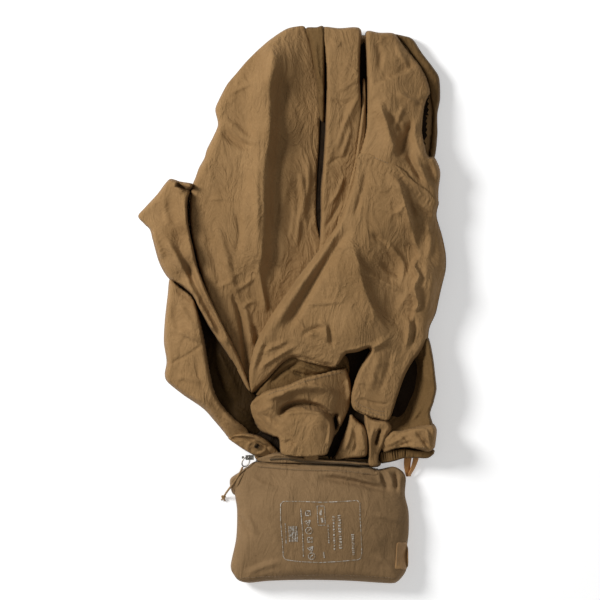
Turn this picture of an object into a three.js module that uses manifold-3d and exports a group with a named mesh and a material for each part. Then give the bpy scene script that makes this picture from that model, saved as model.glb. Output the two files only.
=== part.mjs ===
// Packable hooded wind jacket, half drawn out of its own zipped stash pouch and lying flat.
// Units are millimetres. +Z is up off the surface it lies on, +Y runs from the pouch to the collar end.
// Outlines are drawn from the pouch mouth (Y = 0) and the heap's centre line (X = 0); the finished
// group is then moved so that the origin is the middle of its footprint, on the surface.

import * as THREE from 'three';
import { mergeVertices } from 'three/addons/utils/BufferGeometryUtils.js';
import Module from 'manifold-3d';

const wasm = await Module();
wasm.setup();

// ---------------------------------------------------------------- driving dimensions

const GAP = 0.3; // between pieces that touch
const heap = { widthScale: 1, lengthScale: 1, baseDepth: 12, edgeDepth: 1.6, neck: 5.2, baseFlatness: 16 };
const pouch = {
  centre: 32.5, width: 189, height: 134, depth: 37, mouth: -4, panel: 1.2, seam: 14,
  mouthInsetLeft: 10, mouthInsetRight: 30, shoulder: 17, corner: 22, backLip: 7, crowding: 1.5,
};
const lip = { low: 16, high: 25, level: 26 };
const zip = { tapeWidth: 9, backTapeWidth: 5, tape: 0.6, coil: 1.8, travel: 3 };
const slider = { length: 9, plate: 1.4, wall: 1.3, reach: 2.4, bailWire: 0.6 };
const ring = { wire: 0.8, width: 9, length: 12.5, turn: -120.5 };
const cord = { diameter: 2.2, knot: 5.2 };
const loop = { webbing: 10, thickness: 1.2, eye: 4.2, length: 19, root: 1.6 };
// Heights of the folds' crests above the surface.
const crest = {
  backPanel: 36, backPanelFold: 30, frontStrip: 34, stormFlap: 26, shoulderEdge: 18, yoke: 44,
  mainDrape: 58, facing: 46, hoodSeam: 42, hood: 48, hoodTab: 33, hem: 44, mouthFolds: 30,
  sleeveInner: 34, cuffCloth: 40, sleeveLeft: 38, frontLeft: 30, lining: 20,
};
const cuff = { front: -6, bindingDepth: 26, besideMouth: 5 };
const tab = { width: 9, length: 38, thickness: 1.2 };
const print = { left: -10, width: 86, top: -47, height: 68, film: 0.3 };
const eyelet = { outer: 2.8, inner: 1.2, height: 0.9, x: -43, y: 13 };
const tabDepth = 3;
const seated = 0.5; // how far a thin patch is held off the curved face under it

// ---------------------------------------------------------------- colours and finishes

const CLOTH = { roughness: 0.72, metalness: 0 };
const METAL = { roughness: 0.35, metalness: 0.9 };
const colour = {
  coyote: 0x8a6c47, shade: 0x6d512f, dark: 0x3c2913, pouch: 0x836948, webbing: 0xb07b3e,
  tape: 0x6b5a33, ink: 0xb9b2a4, steel: 0x8f8a80, cord: 0x8b7350,
};

// ---------------------------------------------------------------- helpers

const group = new THREE.Group();

/** Adds one named mesh with its own material. */
function add(name, geometry, hex, finish = CLOTH) {
  const mesh = new THREE.Mesh(geometry, new THREE.MeshStandardMaterial({ color: hex, ...finish }));
  mesh.name = name;
  group.add(mesh);
  return mesh;
}

/** A closed block whose points are placed by place(across 0..1, along 0..1, up 0 or 1). */
function shapedBlock(acrossSteps, alongSteps, place) {
  const geometry = new THREE.BoxGeometry(1, 1, 1, acrossSteps, alongSteps, 1);
  const points = geometry.attributes.position;
  for (let i = 0; i < points.count; i += 1) {
    const [x, y, z] = place(points.getX(i) + 0.5, points.getY(i) + 0.5, points.getZ(i) + 0.5);
    points.setXYZ(i, x, y, z);
  }
  return geometry;
}

/** Eases from 0 to 1 as t goes from 0 to 1. */
function ease(t) {
  return THREE.MathUtils.smoothstep(t, 0, 1);
}

/**
 * A fold of cloth. Each rib is [left x, left y, right x, right y, fullness], in order from the collar
 * end to the pouch end; the fold is a low mound between floor and crest over those ribs.
 */
function fold(ribs, floor, crest, acrossSteps = 4, flatness = 2.4) {
  const last = ribs.length - 1;
  return shapedBlock(acrossSteps, last, (share, along, up) => {
    const [x0, y0, x1, y1, fullness] = ribs[Math.round((1 - along) * last)];
    const across = 0.5 - 0.5 * Math.cos(Math.PI * share);
    const x = THREE.MathUtils.lerp(x0, x1, across) * heap.widthScale;
    const y = THREE.MathUtils.lerp(y0, y1, across);
    const mound = Math.sqrt(Math.max(0, 1 - Math.abs(2 * across - 1) ** flatness));
    const top = floor + heap.edgeDepth + (crest - floor - heap.edgeDepth) * fullness * mound;
    const stretched = y > heap.neck ? heap.neck + (y - heap.neck) * heap.lengthScale : y;
    return [x, stretched, up ? top : floor];
  });
}

/** Turns a three.js geometry into a manifold solid. */
function solid(geometry) {
  const bare = geometry.clone();
  bare.deleteAttribute('normal');
  bare.deleteAttribute('uv');
  const merged = mergeVertices(bare, 1e-4);
  return new wasm.Manifold(new wasm.Mesh({
    numProp: 3,
    vertProperties: new Float32Array(merged.attributes.position.array),
    triVerts: new Uint32Array(merged.index.array),
  }));
}

/** Turns a manifold solid back into a three.js geometry. */
function surface(manifold) {
  const mesh = manifold.getMesh();
  const geometry = new THREE.BufferGeometry();
  geometry.setAttribute('position', new THREE.BufferAttribute(new Float32Array(mesh.vertProperties), 3));
  geometry.setIndex(new THREE.BufferAttribute(new Uint32Array(mesh.triVerts), 1));
  geometry.computeVertexNormals();
  return geometry;
}

/** A round section for an extruded wire or cord. */
function roundSection(radius, sides) {
  const shape = new THREE.Shape();
  for (let i = 0; i < sides; i += 1) {
    const turn = (i / sides) * 2 * Math.PI;
    const point = [radius * Math.cos(turn), radius * Math.sin(turn)];
    if (i === 0) shape.moveTo(...point);
    else shape.lineTo(...point);
  }
  shape.closePath();
  return shape;
}

// ---------------------------------------------------------------- the jacket's heap of folds

const floorOfFolds = heap.baseDepth + GAP;

function buildBodyFolds() {
  add('jacket_lower_layers', fold([
    [-13, 454, 114, 454, 0.9], [-57, 418, 147, 421, 1], [-79, 352, 152, 346, 1],
    [-97, 308, 157, 297, 1], [-150, 275, 158, 264, 1], [-150, 237, 163, 226, 1],
    [-137, 187, 164, 198, 1], [-140, 105, 156, 116, 1], [-133, 80, 160, 82, 1],
    [-98, 55, 158, 58, 1], [-70, 26, 146, 24, 1], [-44, heap.neck, 92, heap.neck, 1],
  ], 0, heap.baseDepth, 6, heap.baseFlatness), colour.dark);

  add('back_panel', fold([
    [1, 471, 10, 471, 0.45], [-50, 435, 19, 435, 0.9], [-81, 391, 26, 380, 1],
    [-85, 354, 27, 336, 1], [-106, 305, 27, 264, 1], [-111, 275, 27, 218, 1],
    [-103, 239, 6, 184, 0.98], [-80, 170, -20, 132, 0.9], [-47, 91, -38, 80, 0.7],
  ], floorOfFolds, crest.backPanel), colour.coyote);

  add('back_panel_fold', fold([
    [14, 466, 30, 469, 0.8], [23, 435, 32, 438, 1], [29, 402, 33, 407, 0.9], [30, 371, 32.5, 375, 0.7],
  ], floorOfFolds, crest.backPanelFold, 2), colour.shade);

  add('front_strip', fold([
    [34, 470, 76, 468, 0.75], [36, 435, 76, 435, 0.95], [35, 391, 74, 391, 1],
    [34, 336, 70, 346, 1], [32, 280, 62, 302, 1], [31, 221, 40, 233, 0.8],
  ], floorOfFolds, crest.frontStrip), colour.coyote);

  add('storm_flap', fold([
    [77.5, 415, 80, 415, 0.7], [77, 380, 80, 377, 1], [73, 341, 77, 339, 1],
    [64, 300, 70, 298, 1], [49, 252, 54, 251, 0.7],
  ], floorOfFolds, crest.stormFlap, 2), colour.shade);

  add('shoulder_edge', fold([
    [112, 464, 117, 464, 0.5], [139.3, 431.8, 149, 437, 0.9], [153, 397.5, 163, 404, 1],
    [150.5, 375, 163, 375, 1], [150.6, 331, 160, 330, 0.8],
  ], floorOfFolds, crest.shoulderEdge, 2), colour.dark);

  add('shoulder_yoke', fold([
    [81, 464, 111, 464, 0.7], [82, 430, 138, 431, 1], [82, 397, 152, 397, 1],
    [80, 358, 146, 356, 1], [76, 329, 150, 322, 1], [104, 317, 163, 302, 1],
    [126, 297, 161, 283, 0.95], [142, 285, 160, 277, 0.8],
  ], floorOfFolds, crest.yoke), colour.coyote);

  add('main_drape', fold([
    [76, 323, 84, 320, 0.6], [71, 285, 114, 303, 0.85], [64, 254, 142, 278, 1],
    [45, 220, 159, 249, 1], [15, 177, 170, 209, 1], [-7, 124, 163, 165, 1],
    [9, 108, 152, 132, 0.9], [48, 106, 149, 124, 0.7],
  ], floorOfFolds, crest.mainDrape, 6), colour.coyote);

  add('front_facing', fold([
    [57, 252, 62, 254, 0.7], [30, 211, 43, 221, 0.9], [10, 185, 13, 179, 1],
    [-17, 131, -8, 126, 1], [-26, 103, -17, 101, 0.9], [-40, 64, -26, 75, 0.7],
  ], floorOfFolds, crest.facing, 2), colour.coyote);
}

function buildHoodAndHem() {
  add('hood_seam_fold', fold([
    [-18, 73, -21, 76, 0.7], [8, 86, -10, 102, 1], [29, 90, 10, 102, 1], [50, 95, 46, 101, 0.8],
  ], floorOfFolds, crest.hoodSeam, 2), colour.shade);

  add('hood_crown', fold([
    [-16, 70, 80, 94, 0.85], [-41, 58, 63, 76, 1], [-43, 47, 65, 61, 1],
    [-37, 26, 60, 31, 0.95], [-8, 17, 50, 9, 0.75], [8, 12, 42, 8, 0.6],
  ], floorOfFolds, crest.hood), colour.shade);

  const overLip = pouchLipTop(24) + 1;
  add('hood_tab', fold([
    [14, 7.4, 34, 7.4, 1], [15, -2, 33, -2, 0.8],
  ], overLip, crest.hoodTab, 2), colour.coyote);

  add('hem_channel', fold([
    [84, 107, 146, 118, 1], [83, 95, 133, 100, 1], [76, 68, 122, 68, 1],
    [68, 45, 109, 41, 0.85], [74, 38, 106, 35, 0.7],
  ], floorOfFolds, crest.hem), colour.coyote);

  add('mouth_fold_middle', fold([
    [67, 41, 71, 37, 0.8], [62, 28, 78, 22, 1], [57, 12, 83, 10, 1],
  ], floorOfFolds, crest.mouthFolds, 2), colour.coyote);

  add('mouth_fold_right', fold([
    [79, 34, 106, 31.5, 1], [86, 19, 100, 19, 1], [87, 10, 97, 10, 0.9],
  ], floorOfFolds, crest.mouthFolds, 2), colour.shade);
}

function buildSleeves() {
  add('sleeve_inner', fold([
    [147, 110, 153, 118, 0.7], [145, 90, 159, 90, 1], [144, 72, 159, 72, 1],
    [135, 45, 152, 44, 1], [119, 33, 156, 31, 1],
  ], floorOfFolds, crest.sleeveInner, 2), colour.coyote);

  const [, mouthEnd] = pouchEdges(pouch.mouth);
  const bindingLeft = (mouthEnd + cuff.besideMouth) / heap.widthScale;
  add('cuff_cloth', fold([
    [116, 30, 156, 28, 1], [109, 20, 157, 19, 1], [101, 3.6, 157, 5.1, 0.9],
  ], floorOfFolds, crest.cuffCloth, 3), colour.coyote);

  add('cuff_elastic', fold([
    [bindingLeft, 3.2, 157, 4.7, 0.9], [bindingLeft, -2, 156, 0, 1],
    [bindingLeft, cuff.front, 149, cuff.front, 0.8],
  ], 0, cuff.bindingDepth, 3), colour.shade);

  add('sleeve_left', fold([
    [-138, 301, -127, 304, 0.6], [-169, 264, -115, 280, 0.9], [-155, 241, -115, 254, 1],
    [-135, 196, -104, 199, 1], [-104, 167, -84, 152, 1], [-78, 124, -66, 109, 0.95],
    [-50, 77, -46, 70, 0.6],
  ], floorOfFolds, crest.sleeveLeft), colour.coyote);

  add('front_left', fold([
    [-136, 190, -116, 175, 0.7], [-141, 138, -99, 131, 1], [-140, 88, -92, 94, 1],
    [-119, 62, -83, 60, 1], [-86, 35, -59, 32, 1], [-72, 21, -48, 20, 0.8],
  ], floorOfFolds, crest.frontLeft), colour.coyote);

  add('inner_lining', fold([
    [-87, 89, -78, 82, 0.7], [-80, 69, -68, 68, 1], [-69, 54, -57, 57, 1], [-52, 34, -48, 38, 0.7],
  ], floorOfFolds, crest.lining, 2), colour.dark);
}

function buildDrawcordTab() {
  const tabTop = floorOfFolds + tabDepth;
  add('drawcord_tab', fold([[-62, 19.4, -40, 19.4, 1], [-52, 8, -26, 8, 1]], floorOfFolds, tabTop, 4),
    colour.coyote);
  const profile = [
    [eyelet.inner, 0], [eyelet.outer, 0], [eyelet.outer, eyelet.height * 0.6],
    [eyelet.outer * 0.8, eyelet.height], [eyelet.inner, eyelet.height * 0.7], [eyelet.inner, 0],
  ].map(([r, z]) => new THREE.Vector2(r, z));
  const grommet = add('eyelet', new THREE.LatheGeometry(profile, 16), colour.steel, METAL);
  grommet.rotation.x = Math.PI / 2;
  grommet.position.set(eyelet.x * heap.widthScale, eyelet.y * heap.lengthScale, tabTop + GAP);
}

// ---------------------------------------------------------------- the stash pouch

/** How far down the pouch y lies: 0 at the mouth, 1 at the bottom. */
function depthShare(y) {
  return (pouch.mouth - y) / pouch.height;
}

/** Left and right edges of the pouch at y. */
function pouchEdges(y) {
  const below = pouch.mouth - y;
  const shoulder = THREE.MathUtils.clamp(1 - below / pouch.shoulder, 0, 1) ** 2;
  const intoCorner = Math.max(0, below - (pouch.height - pouch.corner)) / pouch.corner;
  const rounded = pouch.corner * (1 - Math.sqrt(Math.max(0, 1 - Math.min(intoCorner, 0.98) ** 2)));
  const half = pouch.width / 2 - rounded;
  return [
    pouch.centre - half + pouch.mouthInsetLeft * shoulder,
    pouch.centre + half - pouch.mouthInsetRight * shoulder,
  ];
}

/** Height of the front lip of the mouth at x: level by the slider, arched over the cloth inside. */
function pouchLipTop(x) {
  const [left, right] = pouchEdges(pouch.mouth);
  const share = THREE.MathUtils.clamp((x - left - lip.level) / (right - left - lip.level * 1.6), 0, 1);
  return lip.low + (lip.high - lip.low) * Math.sin(Math.PI * share) ** 2;
}

/** Height of the pouch's front face. */
function pouchFrontAt(x, y) {
  const [left, right] = pouchEdges(y);
  const across = THREE.MathUtils.clamp((2 * x - left - right) / (right - left), -1, 1);
  const share = THREE.MathUtils.clamp(depthShare(y), 0, 1);
  const toBottom = 1 - share ** 4;
  const pillow = pouch.seam + (pouch.depth - pouch.seam) * (1 - Math.abs(across) ** 3.4) * toBottom;
  return THREE.MathUtils.lerp(pouchLipTop(x), pillow, ease(share / 0.35));
}

/** Height of the pouch's back face, which lies on the surface in the middle. */
function pouchBackAt(x, y) {
  const [left, right] = pouchEdges(y);
  const across = THREE.MathUtils.clamp((2 * x - left - right) / (right - left), -1, 1);
  const share = THREE.MathUtils.clamp(depthShare(y), 0, 1);
  const flat = (1 - Math.abs(across) ** 4) * (1 - share ** 6) * (0.6 + 0.4 * ease(share / 0.25));
  return (pouch.seam - 2 * pouch.panel - GAP) * (1 - Math.min(1, flat * 1.12));
}

/** A closed sheet over the pouch's plan between two heights. */
function pouchSheet(acrossSteps, alongSteps, top, bottom, insetLeft, insetRight, from, to) {
  return shapedBlock(acrossSteps, alongSteps, (across, along, up) => {
    const y = THREE.MathUtils.lerp(from, to, (1 - along) ** pouch.crowding);
    const [left, right] = pouchEdges(y);
    const x = THREE.MathUtils.lerp(left + insetLeft(y), right - insetRight(y), across);
    return [x, y, up ? top(x, y) : bottom(x, y)];
  });
}

/** A closed patch that lies on the pouch's front face. */
function frontPatch(left, right, top, bottom, acrossSteps, alongSteps, thickness, lift = GAP) {
  return shapedBlock(acrossSteps, alongSteps, (across, along, up) => {
    const x = THREE.MathUtils.lerp(left, right, across);
    const y = THREE.MathUtils.lerp(bottom, top, along);
    return [x, y, pouchFrontAt(x, y) + lift + (up ? thickness : 0)];
  });
}

const pouchBottom = pouch.mouth - pouch.height;
const fillClear = { front: 1.5, back: 0.85 };

function buildPouch() {
  const flush = () => 0;
  add('pouch_front_panel', pouchSheet(
    14, 12, pouchFrontAt, (x, y) => pouchFrontAt(x, y) - pouch.panel, flush, flush, pouch.mouth, pouchBottom,
  ), colour.pouch);

  add('pouch_back_panel', pouchSheet(
    14, 12, (x, y) => pouchBackAt(x, y) + pouch.panel, pouchBackAt,
    flush, flush, pouch.mouth + pouch.backLip, pouchBottom,
  ), colour.pouch);

  const nearMouth = (y) => 1 - ease((depthShare(y) - 0.04) / 0.2);
  const besideSlider = (y) => 10 + 16 * nearMouth(y);
  const besideCoils = (y) => 10 + 6 * nearMouth(y);
  add('pouch_fill', pouchSheet(
    14, 10,
    (x, y) => pouchFrontAt(x, y) - pouch.panel - fillClear.front - 1.2 * nearMouth(y),
    (x, y) => pouchBackAt(x, y) + pouch.panel + fillClear.back + 2.8 * nearMouth(y),
    besideSlider, besideCoils, heap.neck - 0.4, pouchBottom + pouch.corner,
  ), colour.dark);

  const corner = [
    [-60, -15, -54, -16], [-67, -24, -50, -26], [-58, -36, -52, -37], [-56, -44, -53, -43.5],
  ];
  add('pouch_corner_flap', shapedBlock(4, corner.length - 1, (across, along, up) => {
    const [x0, y0, x1, y1] = corner[Math.round((1 - along) * (corner.length - 1))];
    const x = THREE.MathUtils.lerp(x0, x1, across);
    const y = THREE.MathUtils.lerp(y0, y1, across);
    return [x, y, pouchFrontAt(x, y) + seated + (up ? pouch.panel : 0)];
  }), colour.shade);

  const [, right] = pouchEdges(print.top - 40);
  const tabTop = print.top - 40;
  add('side_tab', frontPatch(
    right - 1 - tab.width, right - 1, tabTop, tabTop - tab.length, 4, 8, tab.thickness,
  ), colour.webbing);

  add('care_print', frontPatch(
    print.left, print.left + print.width, print.top, print.top - print.height, 10, 8, print.film, seated,
  ), colour.ink);
}

// ---------------------------------------------------------------- the zip

const [mouthLeft, mouthRight] = pouchEdges(pouch.mouth);
const coilCentreY = pouch.mouth + GAP + zip.coil / 2;
const coilCentreZ = lip.low - pouch.panel / 2;

function buildZip() {
  add('zip_tape_front', frontPatch(
    mouthLeft + 1, mouthRight - 1, pouch.mouth - GAP, pouch.mouth - zip.tapeWidth, 28, 4, zip.tape, seated,
  ), colour.tape);

  const rail = (left, right, y, height, steps) => shapedBlock(steps, 1, (across, along, up) => {
    const x = THREE.MathUtils.lerp(left, right, across);
    return [x, y + (along - 0.5) * zip.coil, height(x) + (up - 0.5) * zip.coil];
  });
  add('zip_coil_front', rail(
    mouthLeft + 0.1, mouthRight - 1, coilCentreY, (x) => pouchLipTop(x) - pouch.panel / 2, 24,
  ), colour.tape);

  const backLeft = mouthLeft + slider.length + zip.travel + 3;
  const backEdge = pouch.mouth + pouch.backLip;
  const backRight = mouthRight - 12;
  const backTop = (x) => pouchBackAt(x, pouch.mouth) + pouch.panel + seated;
  add('zip_tape_back', shapedBlock(20, 1, (across, along, up) => {
    const x = THREE.MathUtils.lerp(backLeft, backRight, across);
    return [x, backEdge - zip.backTapeWidth * (1 - along), backTop(x) + up * zip.tape];
  }), colour.tape);
  add('zip_coil_back', rail(
    backLeft, backRight, backEdge - zip.backTapeWidth - GAP - zip.coil / 2,
    (x) => backTop(x) + zip.coil / 2, 20,
  ), colour.tape);

  const stopSize = [2.4, 2.5, 2.6];
  const stop = add('zip_end_stop', new THREE.BoxGeometry(...stopSize), colour.steel, METAL);
  stop.position.set(mouthLeft - GAP - stopSize[0] / 2, coilCentreY, coilCentreZ);
}

const sliderX = mouthLeft + 1 + 0.5 + slider.length / 2;
const channelTop = coilCentreZ + zip.coil / 2 + 1.4;
const channelBottom = coilCentreZ - zip.coil / 2 - GAP;
const plateTop = channelTop + slider.plate;
const pivot = new THREE.Vector3(sliderX - 1.5, coilCentreY, plateTop + GAP + ring.wire);

/** The slider is a channel around the coil, open towards the tape, with a bail on top. */
function buildSlider() {
  const front = pouch.mouth - slider.reach + 1;
  const innerBack = coilCentreY + zip.coil / 2 + GAP;
  const outline = new THREE.Shape([
    [front, channelBottom - slider.plate], [innerBack + slider.wall, channelBottom - slider.plate],
    [innerBack + slider.wall, plateTop], [front, plateTop], [front, channelTop],
    [innerBack, channelTop], [innerBack, channelBottom], [front, channelBottom],
  ].map(([y, z]) => new THREE.Vector2(y, z)));
  const channel = new THREE.ExtrudeGeometry(outline, { depth: slider.length, bevelEnabled: false });
  channel.applyMatrix4(new THREE.Matrix4().makeBasis(
    new THREE.Vector3(0, 1, 0), new THREE.Vector3(0, 0, 1), new THREE.Vector3(1, 0, 0),
  ));
  channel.translate(sliderX - slider.length / 2, 0, 0);

  const bailRadius = 2 * ring.wire + 2 * GAP + slider.bailWire;
  const bail = new THREE.TorusGeometry(bailRadius, slider.bailWire, 8, 16);
  bail.rotateX(Math.PI / 2);
  bail.rotateZ(THREE.MathUtils.degToRad(ring.turn));
  bail.translate(pivot.x, pivot.y, plateTop);
  const above = new THREE.BoxGeometry(12, 12, 8);
  above.translate(pivot.x, pivot.y, plateTop - 0.2 + 4);
  const arch = solid(bail).intersect(solid(above));
  add('zip_slider', surface(solid(channel).add(arch)), colour.steel, METAL);
}

/** Direction in which the ring and its cord lie from the slider. */
const lie = new THREE.Vector3(
  Math.cos(THREE.MathUtils.degToRad(ring.turn)), Math.sin(THREE.MathUtils.degToRad(ring.turn)), 0,
);

function buildPull() {
  const halfLong = ring.length / 2 - ring.wire;
  const halfWide = ring.width / 2 - ring.wire;
  const section = roundSection(ring.wire, 8);
  const oval = new THREE.CatmullRomCurve3(Array.from({ length: 24 }, (unused, i) => {
    const turn = (i / 24) * 2 * Math.PI;
    return new THREE.Vector3(halfLong * Math.cos(turn), halfWide * Math.sin(turn), 0);
  }), true);
  const wire = new THREE.ExtrudeGeometry(section, { steps: 24, extrudePath: oval, bevelEnabled: false });
  const link = add('pull_ring', wire, colour.steel, METAL);
  link.rotation.z = THREE.MathUtils.degToRad(ring.turn);
  link.position.copy(pivot).addScaledVector(lie, halfLong);

  const ringEnd = pivot.clone().addScaledVector(lie, 2 * halfLong + ring.wire + GAP);
  const knotAt = new THREE.Vector3(ringEnd.x - 21.5, ringEnd.y - 34, cord.knot / 2 + 0.4);
  const cordEnd = knotAt.clone().add(new THREE.Vector3(1.3, 2.1, 1.6).setLength(cord.knot / 2 + GAP));
  const route = new THREE.CatmullRomCurve3([
    ringEnd,
    new THREE.Vector3(ringEnd.x - 4, ringEnd.y - 8, ringEnd.z - 0.2),
    new THREE.Vector3(ringEnd.x - 10.5, ringEnd.y - 18, ringEnd.z - 0.6),
    new THREE.Vector3(ringEnd.x - 17.5, ringEnd.y - 27.5, ringEnd.z - 8),
    cordEnd,
  ]);
  add('pull_cord', new THREE.ExtrudeGeometry(roundSection(cord.diameter / 2, 8), {
    steps: 10, extrudePath: route, bevelEnabled: false,
  }), colour.cord);

  const knot = add('pull_knot', new THREE.SphereGeometry(cord.knot / 2, 10, 8), colour.cord);
  knot.position.copy(knotAt);
}

// ---------------------------------------------------------------- the hang loop

/** Outline of a teardrop: a small circle at the root, a larger one at the far end. */
function teardrop(path, rootY, rootRadius, farY, farRadius) {
  const lean = Math.asin((farRadius - rootRadius) / (rootY - farY));
  path.absarc(rootY, 0, rootRadius, -Math.PI / 2 + lean, Math.PI / 2 - lean, false);
  path.absarc(farY, 0, farRadius, Math.PI / 2 - lean, 1.5 * Math.PI + lean, false);
  path.closePath();
  return path;
}

function buildHangLoop() {
  const far = loop.eye + loop.thickness;
  const rootY = cuff.front - GAP - loop.root;
  const farY = -(loop.length - far - loop.root);
  const outline = teardrop(new THREE.Shape(), 0, loop.root, farY, far);
  outline.holes.push(teardrop(new THREE.Path(), -4.5, 0.5, farY, loop.eye));
  const band = new THREE.ExtrudeGeometry(outline, {
    depth: loop.webbing, bevelEnabled: false, curveSegments: 8,
  });
  band.applyMatrix4(new THREE.Matrix4().makeBasis(
    new THREE.Vector3(0, 1, 0), new THREE.Vector3(0, 0, 1), new THREE.Vector3(1, 0, 0),
  ));
  const webbing = add('hang_loop', band, colour.webbing);
  const [, right] = pouchEdges(pouch.mouth - pouch.shoulder);
  webbing.position.set(right + GAP, rootY, far + 0.4);
}

buildBodyFolds();
buildHoodAndHem();
buildSleeves();
buildDrawcordTab();
buildPouch();
buildZip();
buildSlider();
buildPull();
buildHangLoop();

// The origin is the middle of the footprint, on the surface.
group.updateMatrixWorld(true);
const box = new THREE.Box3().setFromObject(group, true);
group.position.set(-(box.min.x + box.max.x) / 2, -(box.min.y + box.max.y) / 2, -box.min.z);
group.updateMatrixWorld(true);

export default group;
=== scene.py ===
"""Packable wind jacket, drawn half out of its own zipped pouch and laid on a pale table.

Lengths inside the classes are millimetres in the heap's frame: the origin is the middle of the pouch's
mouth, +x right, +y towards the jacket's shoulders, +z up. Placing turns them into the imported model's metres.
"""

import logging
import math
from collections.abc import Callable, Sequence
from dataclasses import dataclass, field
from enum import Enum

import bmesh
import bpy
import numpy as np
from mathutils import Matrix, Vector
from mathutils.geometry import delaunay_2d_cdt


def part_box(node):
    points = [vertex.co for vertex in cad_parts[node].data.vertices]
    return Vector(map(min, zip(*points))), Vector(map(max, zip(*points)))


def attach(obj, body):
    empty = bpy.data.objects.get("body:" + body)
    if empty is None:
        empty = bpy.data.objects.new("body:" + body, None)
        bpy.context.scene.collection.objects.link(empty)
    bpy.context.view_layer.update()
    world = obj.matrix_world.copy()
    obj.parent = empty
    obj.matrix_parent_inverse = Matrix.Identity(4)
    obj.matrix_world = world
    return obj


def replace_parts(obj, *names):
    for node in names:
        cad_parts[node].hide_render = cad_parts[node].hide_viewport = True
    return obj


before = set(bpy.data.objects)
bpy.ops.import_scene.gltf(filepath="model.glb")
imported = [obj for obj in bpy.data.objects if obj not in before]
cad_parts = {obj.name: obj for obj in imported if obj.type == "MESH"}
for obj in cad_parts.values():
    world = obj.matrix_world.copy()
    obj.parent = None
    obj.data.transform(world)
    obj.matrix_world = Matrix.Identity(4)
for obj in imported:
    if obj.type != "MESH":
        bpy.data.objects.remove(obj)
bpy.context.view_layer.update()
LOG = logging.getLogger("wind_jacket")
Line = tuple[tuple[float, ...], ...]
MM = 0.001
PRESS = 1.7  # how firmly the creases are pressed
LOWEST = 0.7  # nothing lies lower above the table, mm


class Held(Enum):
    """How a sheet of cloth lies."""

    DRAPED = "draped"
    FOLDED = "folded"
    GATHERED = "gathered"


class Placing:
    """Turns heap millimetres into metres of the shared frame, from the CAD pouch's place."""

    def __init__(self) -> None:
        """Find the mouth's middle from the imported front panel."""
        low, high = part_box("pouch_front_panel")
        self.x = (low.x + high.x) / 2 - 32.5 * MM
        self.y = high.y + 4 * MM

    def metres(self, points: np.ndarray) -> np.ndarray:
        """Move heap points into the frame.

        Args:
            points: N by 3 points in heap millimetres.

        Returns:
            The same points in metres.
        """
        return np.asarray(points, float) * MM + np.array([self.x, self.y, 0.0])

    def one(self, x: float, y: float, z: float) -> Vector:
        """Return one heap point in metres."""
        return Vector(self.metres(np.array([[x, y, z]]))[0])


PLACE = Placing()
KEY_WATTS = 62.0
FILL_WATTS = 10.0
SURROUND = 0.22
CRINKLE_DEPTH = 0.0019

# ------------------------------------------------------------------------------------------ shader maths


class Graph:
    """A material's node tree, with one method that adds any node."""

    def __init__(self, name: str) -> None:
        """Start an empty material.

        Args:
            name: the material's name.
        """
        self.material = bpy.data.materials.new(name)
        self.material.use_nodes = True
        self.tree = self.material.node_tree
        self.tree.nodes.clear()

    def node(self, kind: str, settings: dict | None = None, sockets: dict | None = None) -> bpy.types.Node:
        """Add a node.

        Args:
            kind: the node's Blender type.
            settings: attributes set first, such as a Math node's operation.
            sockets: input name or number to a value, a Value or a socket.

        Returns:
            The new node.
        """
        made = self.tree.nodes.new(kind)
        for key, value in (settings or {}).items():
            setattr(made, key, value)
        for key, value in (sockets or {}).items():
            target = made.inputs[key]
            if isinstance(value, Value):
                value = value.socket
            if isinstance(value, bpy.types.NodeSocket):
                self.tree.links.new(value, target)
            else:
                target.default_value = value
        return made

    def value(self, kind: str, output: str | int, settings: dict | None = None,
              sockets: dict | None = None) -> "Value":
        """Add a node and wrap one of its outputs.

        Args:
            kind: the node's Blender type.
            output: the output's name or number.
            settings: attributes set first.
            sockets: input name or number to a value, a Value or a socket.

        Returns:
            The wrapped output.
        """
        return Value(self, self.node(kind, settings, sockets).outputs[output])

    def mix(self, share: "Value | float", first: tuple, second: tuple) -> bpy.types.NodeSocket:
        """Mix two colours.

        Args:
            share: 0 for the first colour, 1 for the second.
            first: linear red, green, blue, or a socket.
            second: linear red, green, blue, or a socket.

        Returns:
            The mixed colour's socket.
        """
        made = self.node("ShaderNodeMix", {"data_type": "RGBA"}, {0: share})
        for number, colour in ((6, first), (7, second)):
            if isinstance(colour, bpy.types.NodeSocket):
                self.tree.links.new(colour, made.inputs[number])
            else:
                made.inputs[number].default_value = (*colour, 1.0)
        return made.outputs[2]


class Value:
    """A socket that takes part in Python arithmetic, adding Math nodes."""

    def __init__(self, graph: Graph, socket: bpy.types.NodeSocket) -> None:
        """Wrap a socket of that graph."""
        self.graph = graph
        self.socket = socket

    def _math(self, operation: str, *others: "Value | float", first: "Value | float | None" = None) -> "Value":
        """Add a Math node on this value and others."""
        inputs = [self if first is None else first, *others]
        return self.graph.value("ShaderNodeMath", 0, {"operation": operation}, dict(enumerate(inputs)))

    def __add__(self, other: "Value | float") -> "Value":
        """Return self + other."""
        return self._math("ADD", other)

    __radd__ = __add__

    def __mul__(self, other: "Value | float") -> "Value":
        """Return self * other."""
        return self._math("MULTIPLY", other)

    __rmul__ = __mul__

    def __sub__(self, other: "Value | float") -> "Value":
        """Return self - other."""
        return self._math("SUBTRACT", other)

    def __rsub__(self, other: "Value | float") -> "Value":
        """Return other - self."""
        return self._math("SUBTRACT", self, first=other)

    def __abs__(self) -> "Value":
        """Return the size without the sign."""
        return self._math("ABSOLUTE")

    def __pow__(self, power: float) -> "Value":
        """Return self to a power."""
        return self._math("POWER", power)

    def sine(self) -> "Value":
        """Return the sine."""
        return self._math("SINE")

    def clamped(self) -> "Value":
        """Return self kept between 0 and 1."""
        return self.graph.value("ShaderNodeClamp", 0, None, {"Value": self})


# ------------------------------------------------------------------------------------------ finishes


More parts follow.
